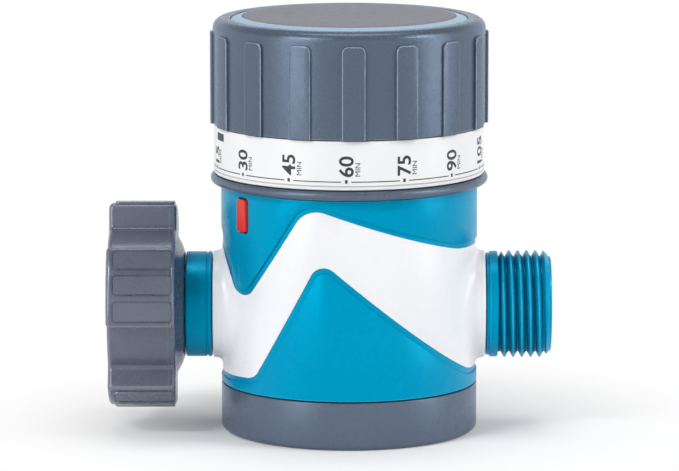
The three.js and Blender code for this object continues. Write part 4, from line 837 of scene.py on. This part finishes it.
def collar_rows(side, half):
    """Rows of points round half a collar: bore, rounded end, outside, and a fillet down to the band.
    side is 1 for the outlet and -1 for the inlet; half is -1 for the front and 1 for the rear."""
    flare = sizes().collar_flare
    bore, end, edge = NECK_R + GAP, COLLAR_END, 0.45 * MM
    rows = []
    steps, fillet_steps = 72, 10
    gap = math.asin(HALF_GAP / COLLAR_R)
    for i in range(steps + 1):
        around = gap + (math.pi - 2 * gap) * i / steps
        reach = flare * (1 + 0.8 * math.sin(around) ** 2)

        def on_band(radius):
            return math.sqrt(BAND_R ** 2 - (radius * math.sin(around)) ** 2)

        foot = on_band(COLLAR_R)
        straight = min(foot + reach, end - edge)
        outer = COLLAR_R + reach
        path = [(on_band(bore) - 1.6 * MM, bore), (end - 0.2 * MM, bore), (end, bore + 0.2 * MM)]
        path += [(end - edge + edge * math.sin(a), COLLAR_R - edge + edge * math.cos(a))
                 for a in (math.pi / 2, math.pi / 3, math.pi / 6, 0)]
        start = Vector((straight, COLLAR_R))
        corner = Vector((foot, COLLAR_R))
        stop = Vector((on_band(outer) - 0.01 * MM, outer))
        for k in range(1, fillet_steps + 1):
            t = k / fillet_steps
            path.append(tuple(start * (1 - t) ** 2 + corner * 2 * t * (1 - t) + stop * t * t))
        path.append((on_band(outer) - 1.2 * MM, outer - 0.1 * MM))
        path.append(path[0])
        rows.append([(side * x, half * radius * math.sin(around), PIPE_Z + radius * math.cos(around))
                     for x, radius in path])
    return rows


class TIMER_OT_bands(bpy.types.Operator):
    """Model the two white side bands with their half collars round the pipe"""

    bl_idname = "timer.bands"
    bl_label = "Side bands"

    def execute(self, context):
        finished(self.band("front_trim", -1), "White Trim", "casing", "trim_white", "front_band")
        finished(self.band("rear_trim", 1), "White Trim", "casing", "trim_white", "rear_band")
        return {"FINISHED"}

    @staticmethod
    def band(name, half):
        """One band with its half collars; half is -1 for the front and 1 for the rear."""
        floor, bottom = BAND_FLOOR_R + 0.15 * MM, HOUSING_LOW + 0.05 * MM
        shell = turned(name, [(floor, bottom), (BAND_R, bottom), (BAND_R, HOUSING_HIGH), (floor, HOUSING_HIGH)])
        clip = band_prism("collar_clip", BAND_FIT, half * HALF_GAP, half * TOOL_REACH)
        boolean(shell, copied(clip, "band_clip"), "INTERSECT")
        bevelled(shell, 40, lambda ends: min(p.xy.length for p in ends) > BAND_R - 0.03 * MM
                 and min(abs(p.y) for p in ends) > 0.5 * MM, sizes().band_edge, clamp_overlap=True)
        for side in (-1, 1):
            collar = lofted("collar", collar_rows(side, half))
            boolean(collar, copied(clip, "clip"), "INTERSECT")
            united(shell, collar)
        bpy.data.objects.remove(clip)
        cut(shell, rod("neck_room", NECK_R + GAP, -OUTLET_END, OUTLET_END, along_pipe=True))
        tidy_mesh(shell)
        return smooth(shell, 34)


class TIMER_OT_base(bpy.types.Operator):
    """Model the base cap with its rounded foot, screw recesses and shallow underside"""

    bl_idname = "timer.base"
    bl_label = "Base cap"

    def execute(self, context):
        edge, lip, floor, screw_round = 1.4 * MM, 0.25 * MM, 2.4 * MM, 48
        inner, rim_top = INNER_R - GAP, BASE_TOP + 3.5 * MM
        cap = turned("base_moulding", [
            (0, 0.6 * MM), (BODY_R - 7 * MM, 0.6 * MM), (BODY_R - 6.6 * MM, 0.05 * MM), (BODY_R - 6.3 * MM, 0),
            *arc((BODY_R - edge, edge), edge, -90, 0, 8), *arc((BODY_R - lip, BASE_TOP - lip), lip, 0, 90, 3),
            (inner, BASE_TOP), (inner, rim_top), (inner - 2 * MM, rim_top), (inner - 2 * MM, BASE_TOP - 3 * MM),
            (INNER_R, BASE_TOP - 4 * MM), (INNER_R, floor), (0, floor)], closed=False)
        for angle in (90, 210, 330):
            spot = (Matrix.Rotation(math.radians(angle), 4, "Z")
                    @ Matrix.Translation((INNER_R - 3.8 * MM, 0, 0))).to_translation()
            post = rod("post", 4.0 * MM, floor - 0.5 * MM, rim_top, screw_round)
            post.data.transform(Matrix.Translation(spot))
            boolean(post, rod("post_room", inner, 0, BASE_TOP + 9 * MM, PIPE_ROUND), "INTERSECT")
            united(cap, post)
            for radius, top in ((1.8 * MM, BASE_TOP + 5 * MM), (3.2 * MM, floor + 0.2 * MM)):
                hole = rod("hole", radius, -PAST, top, screw_round)
                hole.data.transform(Matrix.Translation(spot))
                cut(cap, hole)
        tidy_mesh(cap)
        smooth(cap, 32)
        finished(cap, "Slate Base Painted Lighter", "casing", "casing_grey", "base_cap")
        return {"FINISHED"}


class TIMER_OT_flange(bpy.types.Operator):
    """Model the half-round flange between the housing and the dial"""

    bl_idname = "timer.flange"
    bl_label = "Flange"

    def execute(self, context):
        radius = (FLANGE_HIGH - FLANGE_LOW) / 2
        middle = FLANGE_LOW + radius
        inner = INNER_R - 4.8 * MM
        flange = turned("flange", [(inner, FLANGE_LOW), *arc((FLANGE_R - radius, middle), radius, -90, 90, 12),
                                   (inner, FLANGE_HIGH)])
        smooth(flange, 40)
        finished(flange, "Slate Base Painted Lighter", "casing", "casing_grey", "bezel_ring")
        return {"FINISHED"}


class TIMER_OT_pointer(bpy.types.Operator):
    """Model the red pointer, a curved tab with rounded corners that stands proud of the housing"""

    bl_idname = "timer.pointer"
    bl_label = "Pointer"

    def execute(self, context):
        mark = pointer_prism("pointer_mark", 0)
        inner, outer = BODY_R - 1.7 * MM, BODY_R + 0.7 * MM
        shell = turned("pointer_shell", [(inner, 0), (outer, 0), (outer, HOUSING_HIGH), (inner, HOUSING_HIGH)], 360)
        boolean(mark, shell, "INTERSECT")
        bevelled(mark, 50, lambda ends: min(p.xy.length for p in ends) > outer - 0.05 * MM, 0.22 * MM,
                 clamp_overlap=True)
        tidy_mesh(mark)
        smooth(mark, 35)
        finished(mark, "Red Pointer", "casing", "pointer_red", "pointer")
        return {"FINISHED"}


# ---------------------------------------------------------------- inlet side

NUT_LOBES = 4
NUT_TURN, LOBE_HALF = 20, 24  # in degrees


def nut_outline(growth=0.0):
    """The lobed outline of the nut in the plane across the pipe, as (y, z) points."""
    lobe, valley = NUT_LOBE_R + growth, NUT_VALLEY_R + growth

    def polar(radius, angle, rounding=0.0):
        a = math.radians(angle)
        return (radius * math.cos(a), radius * math.sin(a), rounding)

    foot, crown = (valley + 0.1 * MM, 1.4 * MM), (lobe, 1.1 * MM)
    corners = []
    for k in range(NUT_LOBES):
        centre = 360 * k / NUT_LOBES
        corners.append(polar(foot[0], centre - LOBE_HALF - 2, foot[1]))
        corners.append(polar(crown[0], centre - LOBE_HALF, crown[1]))
        corners += [polar(lobe, centre + a) for a in range(4 - LOBE_HALF, LOBE_HALF - 3, 2)]
        corners.append(polar(crown[0], centre + LOBE_HALF, crown[1]))
        corners.append(polar(foot[0], centre + LOBE_HALF + 2, foot[1]))
        corners += [polar(valley, centre + a) for a in range(LOBE_HALF + 6, 90 - LOBE_HALF - 5, 4)]
    points = rounded(corners, 0.3 * MM)
    turn = math.radians(NUT_TURN)
    # the first lobe points to the front, turned upwards from the horizontal
    return [(-(u * math.cos(turn) - v * math.sin(turn)), PIPE_Z + u * math.sin(turn) + v * math.cos(turn))
            for u, v in points]


class TIMER_OT_nut(bpy.types.Operator):
    """Model the swivel nut: four lobes with grip pads, a coned rear and a threaded bore"""

    bl_idname = "timer.nut"
    bl_label = "Swivel nut"

    def execute(self, context):
        size = sizes()
        body = prism("hose_nut", nut_outline(), -NUT_FRONT, -NUT_BACK, along="X")
        applied(body, "BEVEL", width=size.nut_edge, segments=5, limit_method="ANGLE", angle_limit=math.radians(50),
                use_clamp_overlap=True)
        parting = prism("parting", nut_outline(0.12 * MM), -NUT_BACK - 1.9 * MM, -NUT_BACK - 1.6 * MM, along="X")
        past_front, cone_r = -NUT_FRONT + PAST, NUT_VALLEY_R - 1.0 * MM
        hub = piped("nut_hub", [
            (0, -NUT_REAR), (NUT_HUB_R - 0.3 * MM, -NUT_REAR), (NUT_HUB_R, -NUT_REAR - 0.15 * MM),
            (NUT_HUB_R + 1.6 * MM, -NUT_REAR - 0.7 * MM), (NUT_VALLEY_R - 1.6 * MM, -NUT_BACK - 0.2 * MM),
            (cone_r, -NUT_BACK - 0.7 * MM), (cone_r, past_front), (0, past_front)])
        united(body, parting, hub)
        bore_back, mouth = -(INLET_SHOULDER + 3.1 * MM), -NUT_FRONT - 0.1 * MM
        cut(body, rod("nut_neck", INLET_NECK_R + GAP, -NUT_REAR + PAST, past_front, along_pipe=True),
            piped("nut_bore", [(0, bore_back), (NUT_BORE_R, bore_back), (NUT_BORE_R, -NUT_FRONT + 0.9 * MM),
                               (NUT_BORE_R + 1.0 * MM, mouth), (0, mouth)]))
        pitch = size.thread_pitch
        start = -NUT_FRONT + 1.6 * MM
        thread = screw_thread("nut_thread", start, start + 3.2 * pitch, NUT_BORE_R, NUT_CREST_R, 0.2 * pitch, True)
        united(body, thread, joined(*self.pads()))
        tidy_mesh(body)
        smooth(body, 30)
        # narrow rounded edges get a painted highlight
        mark_highlight_edges(body, 12, 0.14 * MM, 0.45 * MM)
        finished(body, "Slate Nut", "nut", "casing_grey", "swivel_nut")
        return {"FINISHED"}

    @staticmethod
    def pads():
        """Raised grip pads, three on each lobe: one is modelled, the rest are copies."""
        length, width, rise, proud = 14.8 * MM, 5.0 * MM, 1.6 * MM, 0.42 * MM
        inset, step_angle = 0.02 * MM, 14.8
        first = started(bpy.ops.mesh.primitive_cube_add, "pad", size=1)
        middle = -(NUT_BACK + NUT_FRONT) / 2 + 0.55 * MM
        first.data.transform(Matrix.Diagonal((length, rise, width, 1)))
        with editing(first, "EDGE"):
            choose(first, lambda e: abs((e.verts[0].co - e.verts[1].co).y) > 0.5 * rise)
            bpy.ops.mesh.bevel(offset=0.9 * MM, segments=4, profile=0.5, affect="EDGES")
            choose(first, lambda f: f.normal.y < -0.9, "FACE")
            bpy.ops.mesh.inset(thickness=inset)
            choose(first, lambda e: len(e.link_faces) == 2 and e.calc_face_angle(0) > 1.0
                   and max(v.co.y for v in e.verts) < -0.4 * rise)
            bpy.ops.mesh.bevel(offset=0.22 * MM, segments=3, profile=0.5, affect="EDGES")
        first.data.transform(Matrix.Translation((middle, -NUT_LOBE_R - proud + rise / 2 + inset, 0)))
        pads = []
        for lobe in range(NUT_LOBES):
            for step in (-1, 0, 1):
                angle = math.radians(-(NUT_TURN + 360 * lobe / NUT_LOBES + step_angle * step))
                place = Matrix.Translation((0, 0, PIPE_Z)) @ Matrix.Rotation(angle, 4, "X")
                pads.append(copied(first, f"pad_{lobe}_{step + 2}", place))
        bpy.data.objects.remove(first)
        return pads


class TIMER_OT_inlet_trim(bpy.types.Operator):
    """Model the hose washer and the domed strainer in the nut"""

    bl_idname = "timer.inlet_trim"
    bl_label = "Washer and strainer"

    def execute(self, context):
        back, front = WASHER_X
        inner, edge, lip = INLET_BORE_R - 0.2 * MM, 0.6 * MM, 0.5 * MM
        washer = piped("washer", [
            *arc((inner + lip, back - lip), lip, 180, 90, 3), *arc((WASHER_R - edge, back - edge), edge, 90, 0, 4),
            *arc((WASHER_R - edge, front + edge), edge, 0, -90, 4),
            *arc((inner + lip, front + lip), lip, -90, -180, 3)], closed=True)
        smooth(washer, 40)
        finished(washer, "Seal Rubber", "casing", "seal_rubber", "hose_washer")
        finished(self.strainer(back), "Natural Acetal", "casing", "natural_plastic", "inlet_screen")
        return {"FINISHED"}

    @staticmethod
    def strainer(seat):
        """A dome with rings of round holes."""
        rim, rise, wall = INLET_BORE_R - 0.5 * MM, 4.4 * MM, 0.5 * MM
        foot, end = seat - 1.0 * MM, seat - 1.6 * MM

        def curve(inwards):
            return [((rim - inwards) * math.sin(a), foot + (rise - inwards) * math.cos(a))
                    for a in (math.radians(10 * k) for k in range(10))]

        dome = piped("strainer", [*curve(0), (rim, end), (rim - wall, end), *reversed(curve(wall))], BORE_ROUND)
        tidy_mesh(dome)
        tools = []
        for count, radius in ((1, 0), (6, 2.1 * MM), (12, 4.1 * MM), (18, 6.0 * MM)):
            for k in range(count):
                a = FULL_TURN * k / count
                hole = rod("mesh_hole", 0.55 * MM, seat - 8 * MM, seat + 8 * MM, 16, True)
                hole.data.transform(Matrix.Translation((0, radius * math.sin(a), radius * math.cos(a))))
                tools.append(hole)
        cut(dome, joined(*tools))
        return smooth(dome, 35)


# ---------------------------------------------------------------- dial and knob

MINUTE_STEP = 24.75  # degrees of dial between two marks
SIXTY_ANGLE = -1.3  # where the mark for sixty minutes stands, in degrees from the front
MARKS = {"OFF": -4, "15": -3, "30": -2, "45": -1, "60": 0, "75": 1, "90": 2, "105": 3, "120": 4}


class TIMER_OT_dial(bpy.types.Operator):
    """Model the white scale ring with its fine groove"""

    bl_idname = "timer.dial"
    bl_label = "Scale ring"

    def execute(self, context):
        inner, groove, half_groove = DIAL_R - 2.5 * MM, DIAL_LOW + 0.9 * MM, 0.14 * MM
        ledge, shelf = inner - 4.4 * MM, DIAL_HIGH - 2.2 * MM
        edge, top_edge = 0.25 * MM, 0.15 * MM
        ring = turned("scale_ring", [
            (inner, DIAL_LOW), *arc((DIAL_R - edge, DIAL_LOW + edge), edge, -90, 0, 4),
            (DIAL_R, groove - half_groove), (DIAL_R - 0.25 * MM, groove), (DIAL_R, groove + half_groove),
            *arc((DIAL_R - top_edge, DIAL_HIGH - top_edge), top_edge, 0, 90, 3),
            (ledge, DIAL_HIGH), (ledge, shelf), (inner, shelf)])
        smooth(ring, 30)
        finished(ring, "White Dial", "dial", "dial_white", "dial_ring")
        return {"FINISHED"}


def printed_bar(name, start, end, bottom, top):
    """A thin printed bar round the dial, from one angle to another in degrees."""
    bar = started(bpy.ops.mesh.primitive_cube_add, name, size=1)
    s0, s1 = (math.radians(a) * DIAL_R for a in (start, end))
    bar.data.transform(Matrix.Translation(((s0 + s1) / 2, 0, (bottom + top) / 2))
                       @ Matrix.Diagonal((s1 - s0, 0.06 * MM, top - bottom, 1)))
    pieces = max(1, round((end - start) / 1.5))
    sliced(bar, [s0 + (s1 - s0) * k / pieces for k in range(1, pieces)])
    return wrapped(bar, DIAL_R)


def printed_text(name, words, angle, height, size, shift, weight):
    """Words printed on the dial, reading upwards; shift moves them round the dial."""
    text = started(bpy.ops.object.text_add, name)
    text.data.body = words
    text.data.align_x = "LEFT"
    text.data.align_y = "CENTER"
    text.data.size = size / 0.69  # the figures fill this much of the letter size
    text.data.offset = weight
    text.data.extrude = 0.03 * MM
    text.data.resolution_u = 4
    bpy.ops.object.convert(target="MESH")
    text = bpy.context.object
    lo = Vector(map(min, *(v.co for v in text.data.vertices)))
    hi = Vector(map(max, *(v.co for v in text.data.vertices)))
    middle = (lo.y + hi.y) / 2
    s0 = math.radians(angle) * DIAL_R + shift
    for vertex in text.data.vertices:
        x, y, z = vertex.co
        vertex.co = (s0 - (y - middle), z, height + 1.08 * (x - lo.x))
    sliced(text, [s0 + k * 0.6 * MM for k in range(-3, 4)])
    return wrapped(text, DIAL_R)


class TIMER_OT_scale(bpy.types.Operator):
    """Print the minute figures, the marks and the scale line on the dial, and a grey band of painted shade along its
    groove
    """

    bl_idname = "timer.scale"
    bl_label = "Scale printing"

    def execute(self, context):
        digit = sizes().digit_size
        line, tick = DIAL_LOW + 2.1 * MM, 0.32 * MM
        parts = []
        gap = math.degrees(1.2 * MM / DIAL_R)
        angles = {word: SIXTY_ANGLE + step * MINUTE_STEP for word, step in MARKS.items()}
        for word, angle in angles.items():
            side = math.degrees(tick / DIAL_R)
            parts.append(printed_bar("tick", angle - side, angle + side, line - 0.35 * MM, line + 0.5 * MM))
            parts.append(printed_text("figure", word, angle, line + 1.25 * MM, digit, 0, 0.09 * MM))
            if word != "OFF":
                parts.append(printed_text("unit", "MIN", angle, line + 1.4 * MM, 0.37 * digit, 2.8 * MM, 0))
            if word != "120":
                parts.append(printed_bar("line", angle + gap, angle + MINUTE_STEP - gap, line - 0.12 * MM,
                                         line + 0.12 * MM))
        parts.append(printed_bar("block", angles["15"] + 0.3, angles["15"] + 8.6, DIAL_HIGH - 3.0 * MM,
                                 DIAL_HIGH - 1.1 * MM))
        # a pale grey band of painted shade along the dial's groove
        groove_shade_bars = [printed_bar("groove_shade_bars", start, start + 90, DIAL_LOW + 0.98 * MM, DIAL_LOW + 1.14 * MM)
                for start in (-180, -90, 0, 90)]
        for name, pieces, finish_name in (("groove_painted_shade", groove_shade_bars, "Groove Painted Shade"), ("scale_print", parts, "Scale Ink")):
            whole = joined(*pieces)
            whole.name = whole.data.name = name
            finished(whole, finish_name, "dial", "casing_grey")
        return {"FINISHED"}


class TIMER_OT_knob(bpy.types.Operator):
    """Model the knob with its rounded shoulder, recessed top and ribs"""

    bl_idname = "timer.knob"
    bl_label = "Knob"

    def execute(self, context):
        edge, wall, lip = sizes().knob_edge, 2.2 * MM, 0.2 * MM
        recess, under, inner = ACCENT_R + GAP, RECESS_FLOOR - wall, KNOB_R - wall
        knob = turned("knob_shell", [
            (0, RECESS_FLOOR), (recess, RECESS_FLOOR), (recess, KNOB_HIGH - lip), (recess + lip, KNOB_HIGH),
            *arc((KNOB_R - edge, KNOB_HIGH - edge), edge, 90, 0, 12),
            (KNOB_R, KNOB_LOW + lip), (KNOB_R - lip, KNOB_LOW), (inner, KNOB_LOW),
            (inner, under - 1 * MM), (inner - 1 * MM, under), (0, under)], closed=False)
        united(knob, joined(*self.ribs()))
        tidy_mesh(knob)
        smooth(knob, 34)
        # narrow rounded edges get a painted highlight
        mark_highlight_edges(knob, 12)
        finished(knob, "Slate Casing", "dial", "casing_grey", "knob")
        return {"FINISHED"}

    @staticmethod
    def ribs():
        """One rib is modelled as a flat bar with rounded upper corners, bent round the knob and copied."""
        size = sizes()
        width, height = size.rib_width * KNOB_R, size.rib_height
        bottom, top, corner, half = KNOB_LOW, KNOB_HIGH - 3.4 * MM, 1.5 * MM, width / 2
        outline = rounded([(-half, bottom, 0), (half, bottom, 0), (half, top, corner), (-half, top, corner)], 0.25 * MM)
        first = prism("rib", outline, -height, 1.0 * MM)
        bevelled(first, 50, lambda ends: max(p.y for p in ends) < -0.9 * height
                 and max(p.z for p in ends) > bottom + 0.1 * MM, 0.24 * MM)
        sliced(first, [k * width / 10 for k in range(-4, 5)])
        smooth(wrapped(first, KNOB_R, outwards=-1), 30)
        first_angle = math.radians(1.7)
        ribs = [copied(first, f"rib_{k}", Matrix.Rotation(first_angle + FULL_TURN * k / size.rib_count, 4, "Z"))
                for k in range(size.rib_count)]
        bpy.data.objects.remove(first)
        return ribs


class TIMER_OT_top(bpy.types.Operator):
    """Model the top disc and the pale blue ring round it"""

    bl_idname = "timer.top"
    bl_label = "Top disc and accent ring"

    def execute(self, context):
        bottom, edge = RECESS_FLOOR + GAP, 0.4 * MM
        disc = turned("top_disc", [(0, bottom), (DISC_R, bottom),
                                   *arc((DISC_R - edge, TOP_FACE - edge), edge, 0, 90, 5),
                                   (0.8 * DISC_R, TOP_FACE), (0.4 * DISC_R, TOP_FACE), (0, TOP_FACE)], closed=False)
        smooth(disc, 40)
        finished(disc, "Slate Cover", "dial", "casing_grey", "knob_disc")
        inner, outer = DISC_R + 0.12 * MM, ACCENT_R + 0.18 * MM
        ring = turned("blue_ring", [
            (inner, bottom), (outer, bottom), (outer, TOP_FACE - 0.95 * MM), (outer - 0.15 * MM, TOP_FACE - 0.8 * MM),
            (inner + 0.35 * MM, TOP_FACE - 0.1 * MM), (inner + 0.15 * MM, TOP_FACE - 0.06 * MM),
            (inner, TOP_FACE - 0.2 * MM)])
        smooth(ring, 40)
        finished(ring, "Pale Blue Accent", "dial", "ring_blue", "accent_ring")
        return {"FINISHED"}


# ---------------------------------------------------------------- inner pieces and fasteners


class TIMER_OT_spring(bpy.types.Operator):
    """Copy the valve's return spring from its CAD part and give it its finish; the spring closes up as the valve opens
    downwards
    """

    bl_idname = "timer.spring"
    bl_label = "Return spring"

    def execute(self, context):
        spring = copied(frame["nodes"]["valve_spring"], "return_spring")
        spring.parent = None
        tidy_mesh(spring)
        smooth(spring, 40)
        finished(spring, "Zinc Steel", "casing", "steel", "valve_spring")
        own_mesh(spring)
        return {"FINISHED"}


class TIMER_OT_inner(bpy.types.Operator):
    """Give the clockwork, the valve, the seals and the fasteners their finishes"""

    bl_idname = "timer.inner"
    bl_label = "Inner pieces"

    def execute(self, context):
        by_slot = {"steel": "Zinc Steel", "brass": "Clock Brass", "seal_rubber": "Seal Rubber",
                   "natural_plastic": "Natural Acetal"}
        slots = {entry["node"]: entry["material_slot"] for entry in frame["record"]["subparts"]}
        for name, piece in frame["nodes"].items():
            if not piece.hide_render:
                painted(piece, by_slot[slots[name]])
        return {"FINISHED"}


# ---------------------------------------------------------------- stage

LIGHT_REACH = 1.1  # from the middle to the side lights
# Side lights: name, azimuth in degrees, height, size and power.
SOFTBOXES = (
    ("Left Softbox", -46, 0.36, (0.5, 1.3), 7.15), ("Right Softbox", 76, 0.36, (0.42, 1.3), 6.1),
    ("Left Upper Softbox", -44, 0.95, (0.34, 0.22), 4.2), ("Right Upper Softbox", 72, 0.95, (0.34, 0.22), 3.7),
)
CAMERA_PLACE, CAMERA_TILT, CAMERA_LENS = (-2.43 * MM, -1.2, 243.6 * MM), 80.78, 255.8


def area_light(name, place, size, power):
    """A soft rectangular light that faces the middle of the timer and isn't seen itself."""
    bpy.ops.object.light_add(type="AREA", location=place)
    light = bpy.context.object
    light.name = name
    light.data.shape = "RECTANGLE"
    light.data.size, light.data.size_y = size
    light.data.energy = power
    light.visible_camera = False
    light.rotation_euler = (Vector((0, 0, 55 * MM)) - Vector(place)).to_track_quat("-Z", "Y").to_euler()


class TIMER_OT_stage(bpy.types.Operator):
    """Set up the pale floor, the soft studio lights, the white surroundings and the camera"""

    bl_idname = "timer.stage"
    bl_label = "Stage"

    def execute(self, context):
        self.floor()
        for name, azimuth, height, size, power in SOFTBOXES:
            a = math.radians(azimuth)
            area_light(name, (LIGHT_REACH * math.sin(a), -LIGHT_REACH * math.cos(a), height), size, power)
        area_light("Top Softbox", (0, 0.1, 1.0), (0.6, 0.3), 2.6)
        self.surroundings()
        bpy.ops.object.camera_add(location=CAMERA_PLACE, rotation=(math.radians(CAMERA_TILT), 0, 0))
        camera = bpy.context.object
        camera.data.sensor_width = 36
        camera.data.lens = CAMERA_LENS
        camera.data.clip_start = 0.01
        context.scene.camera = camera
        context.scene.view_settings.view_transform = "Standard"
        return {"FINISHED"}

    @staticmethod
    def floor():
        """A floor that shows white and fades to a shadowed one under the timer; from below it is clear."""
        plane = started(bpy.ops.mesh.primitive_plane_add, "studio_floor", size=0.9, location=(0, 0, -0.05 * MM))
        material = bpy.data.materials.new("Studio Floor")
        material.use_nodes = True
        tree = material.node_tree
        shader = next(n for n in tree.nodes if n.type == "BSDF_PRINCIPLED")
        shader.inputs["Base Color"].default_value = (0.93, 0.93, 0.93, 1)
        shader.inputs["Roughness"].default_value = 0.9
        shader.inputs["Specular IOR Level"].default_value = 0.1
        output = next(n for n in tree.nodes if n.type == "OUTPUT_MATERIAL")
        white = node(tree, "ShaderNodeEmission", {"Color": (1, 1, 1, 1), "Strength": 1.0})
        ray = tree.nodes.new("ShaderNodeLightPath").outputs
        distance = node(tree, "ShaderNodeVectorMath", {0: object_place(tree)}, operation="LENGTH").outputs["Value"]
        fade = ranged(tree, distance, 0.03, 0.105, 0.12, 1.0, interpolation_type="SMOOTHSTEP")
        seen = maths(tree, "MAXIMUM", ray["Is Camera Ray"], ray["Is Glossy Ray"])
        above = node(tree, "ShaderNodeMixShader", {0: maths(tree, "MULTIPLY", fade, seen), 1: shader.outputs[0],
                                                   2: white.outputs[0]})
        below = tree.nodes.new("ShaderNodeBsdfTransparent")
        side = tree.nodes.new("ShaderNodeNewGeometry").outputs["Backfacing"]
        both = node(tree, "ShaderNodeMixShader", {0: side, 1: above.outputs[0], 2: below.outputs[0]})
        tree.links.new(both.outputs[0], output.inputs["Surface"])
        plane.data.materials.append(material)

    @staticmethod
    def surroundings():
        """White surroundings that light the timer softly; reflections see a dimmer ceiling above them."""
        world = bpy.data.worlds.new("Studio")
        bpy.context.scene.world = world
        world.use_nodes = True
        tree = world.node_tree
        background = next(n for n in tree.nodes if n.type == "BACKGROUND")
        ray = tree.nodes.new("ShaderNodeLightPath").outputs
        direct = maths(tree, "MAXIMUM", ray["Is Camera Ray"], ray["Is Transmission Ray"])
        level = ranged(tree, maths(tree, "MAXIMUM", direct, ray["Is Glossy Ray"]), 0.0, 1.0, 0.28, 1.0)
        direction = tree.nodes.new("ShaderNodeTexCoord").outputs["Generated"]
        height = node(tree, "ShaderNodeSeparateXYZ", {"Vector": direction}).outputs["Z"]
        ceiling = ranged(tree, height, 0.3, 0.6, 1.0, 0.25, interpolation_type="SMOOTHSTEP")
        matte = maths(tree, "SUBTRACT", 1.0, ray["Is Glossy Ray"])
        tone = maths(tree, "MAXIMUM", maths(tree, "MAXIMUM", ceiling, direct), matte)
        background.inputs["Color"].default_value = (1, 1, 1, 1)
        tree.links.new(maths(tree, "MULTIPLY", tone, level), background.inputs["Strength"])


# ---------------------------------------------------------------- panel and registration

OPERATORS = (
    TIMER_OT_stage, TIMER_OT_housing, TIMER_OT_bands, TIMER_OT_base, TIMER_OT_flange, TIMER_OT_pointer,
    TIMER_OT_nut, TIMER_OT_inlet_trim, TIMER_OT_dial, TIMER_OT_scale, TIMER_OT_knob, TIMER_OT_top,
    TIMER_OT_spring, TIMER_OT_inner,
)


class TIMER_PT_pieces(bpy.types.Panel):
    """Lists the sizes, the colours and a button for each piece"""

    bl_idname = "TIMER_PT_pieces"
    bl_label = "Tap Timer"
    bl_space_type = "VIEW_3D"
    bl_region_type = "UI"
    bl_category = "Tap Timer"

    def draw(self, context):
        layout = self.layout
        for group in (context.scene.timer_sizes, context.scene.timer_colours):
            box = layout.box()
            for name in group.bl_rna.properties.keys():
                if name not in {"rna_type", "name"}:
                    box.prop(group, name)
        for operator in OPERATORS:
            layout.operator(operator.bl_idname)


CLASSES = (TimerSizes, TimerColours, *OPERATORS, TIMER_PT_pieces)


def register():
    for cls in CLASSES:
        bpy.utils.register_class(cls)
    bpy.types.Scene.timer_sizes = PointerProperty(type=TimerSizes)
    bpy.types.Scene.timer_colours = PointerProperty(type=TimerColours)


def unregister():
    del bpy.types.Scene.timer_colours
    del bpy.types.Scene.timer_sizes
    for cls in reversed(CLASSES):
        bpy.utils.unregister_class(cls)


def main():
    register()
    for operator in OPERATORS:
        group, name = operator.bl_idname.split(".")
        getattr(getattr(bpy.ops, group), name)()


if __name__ == "__main__":
    main()
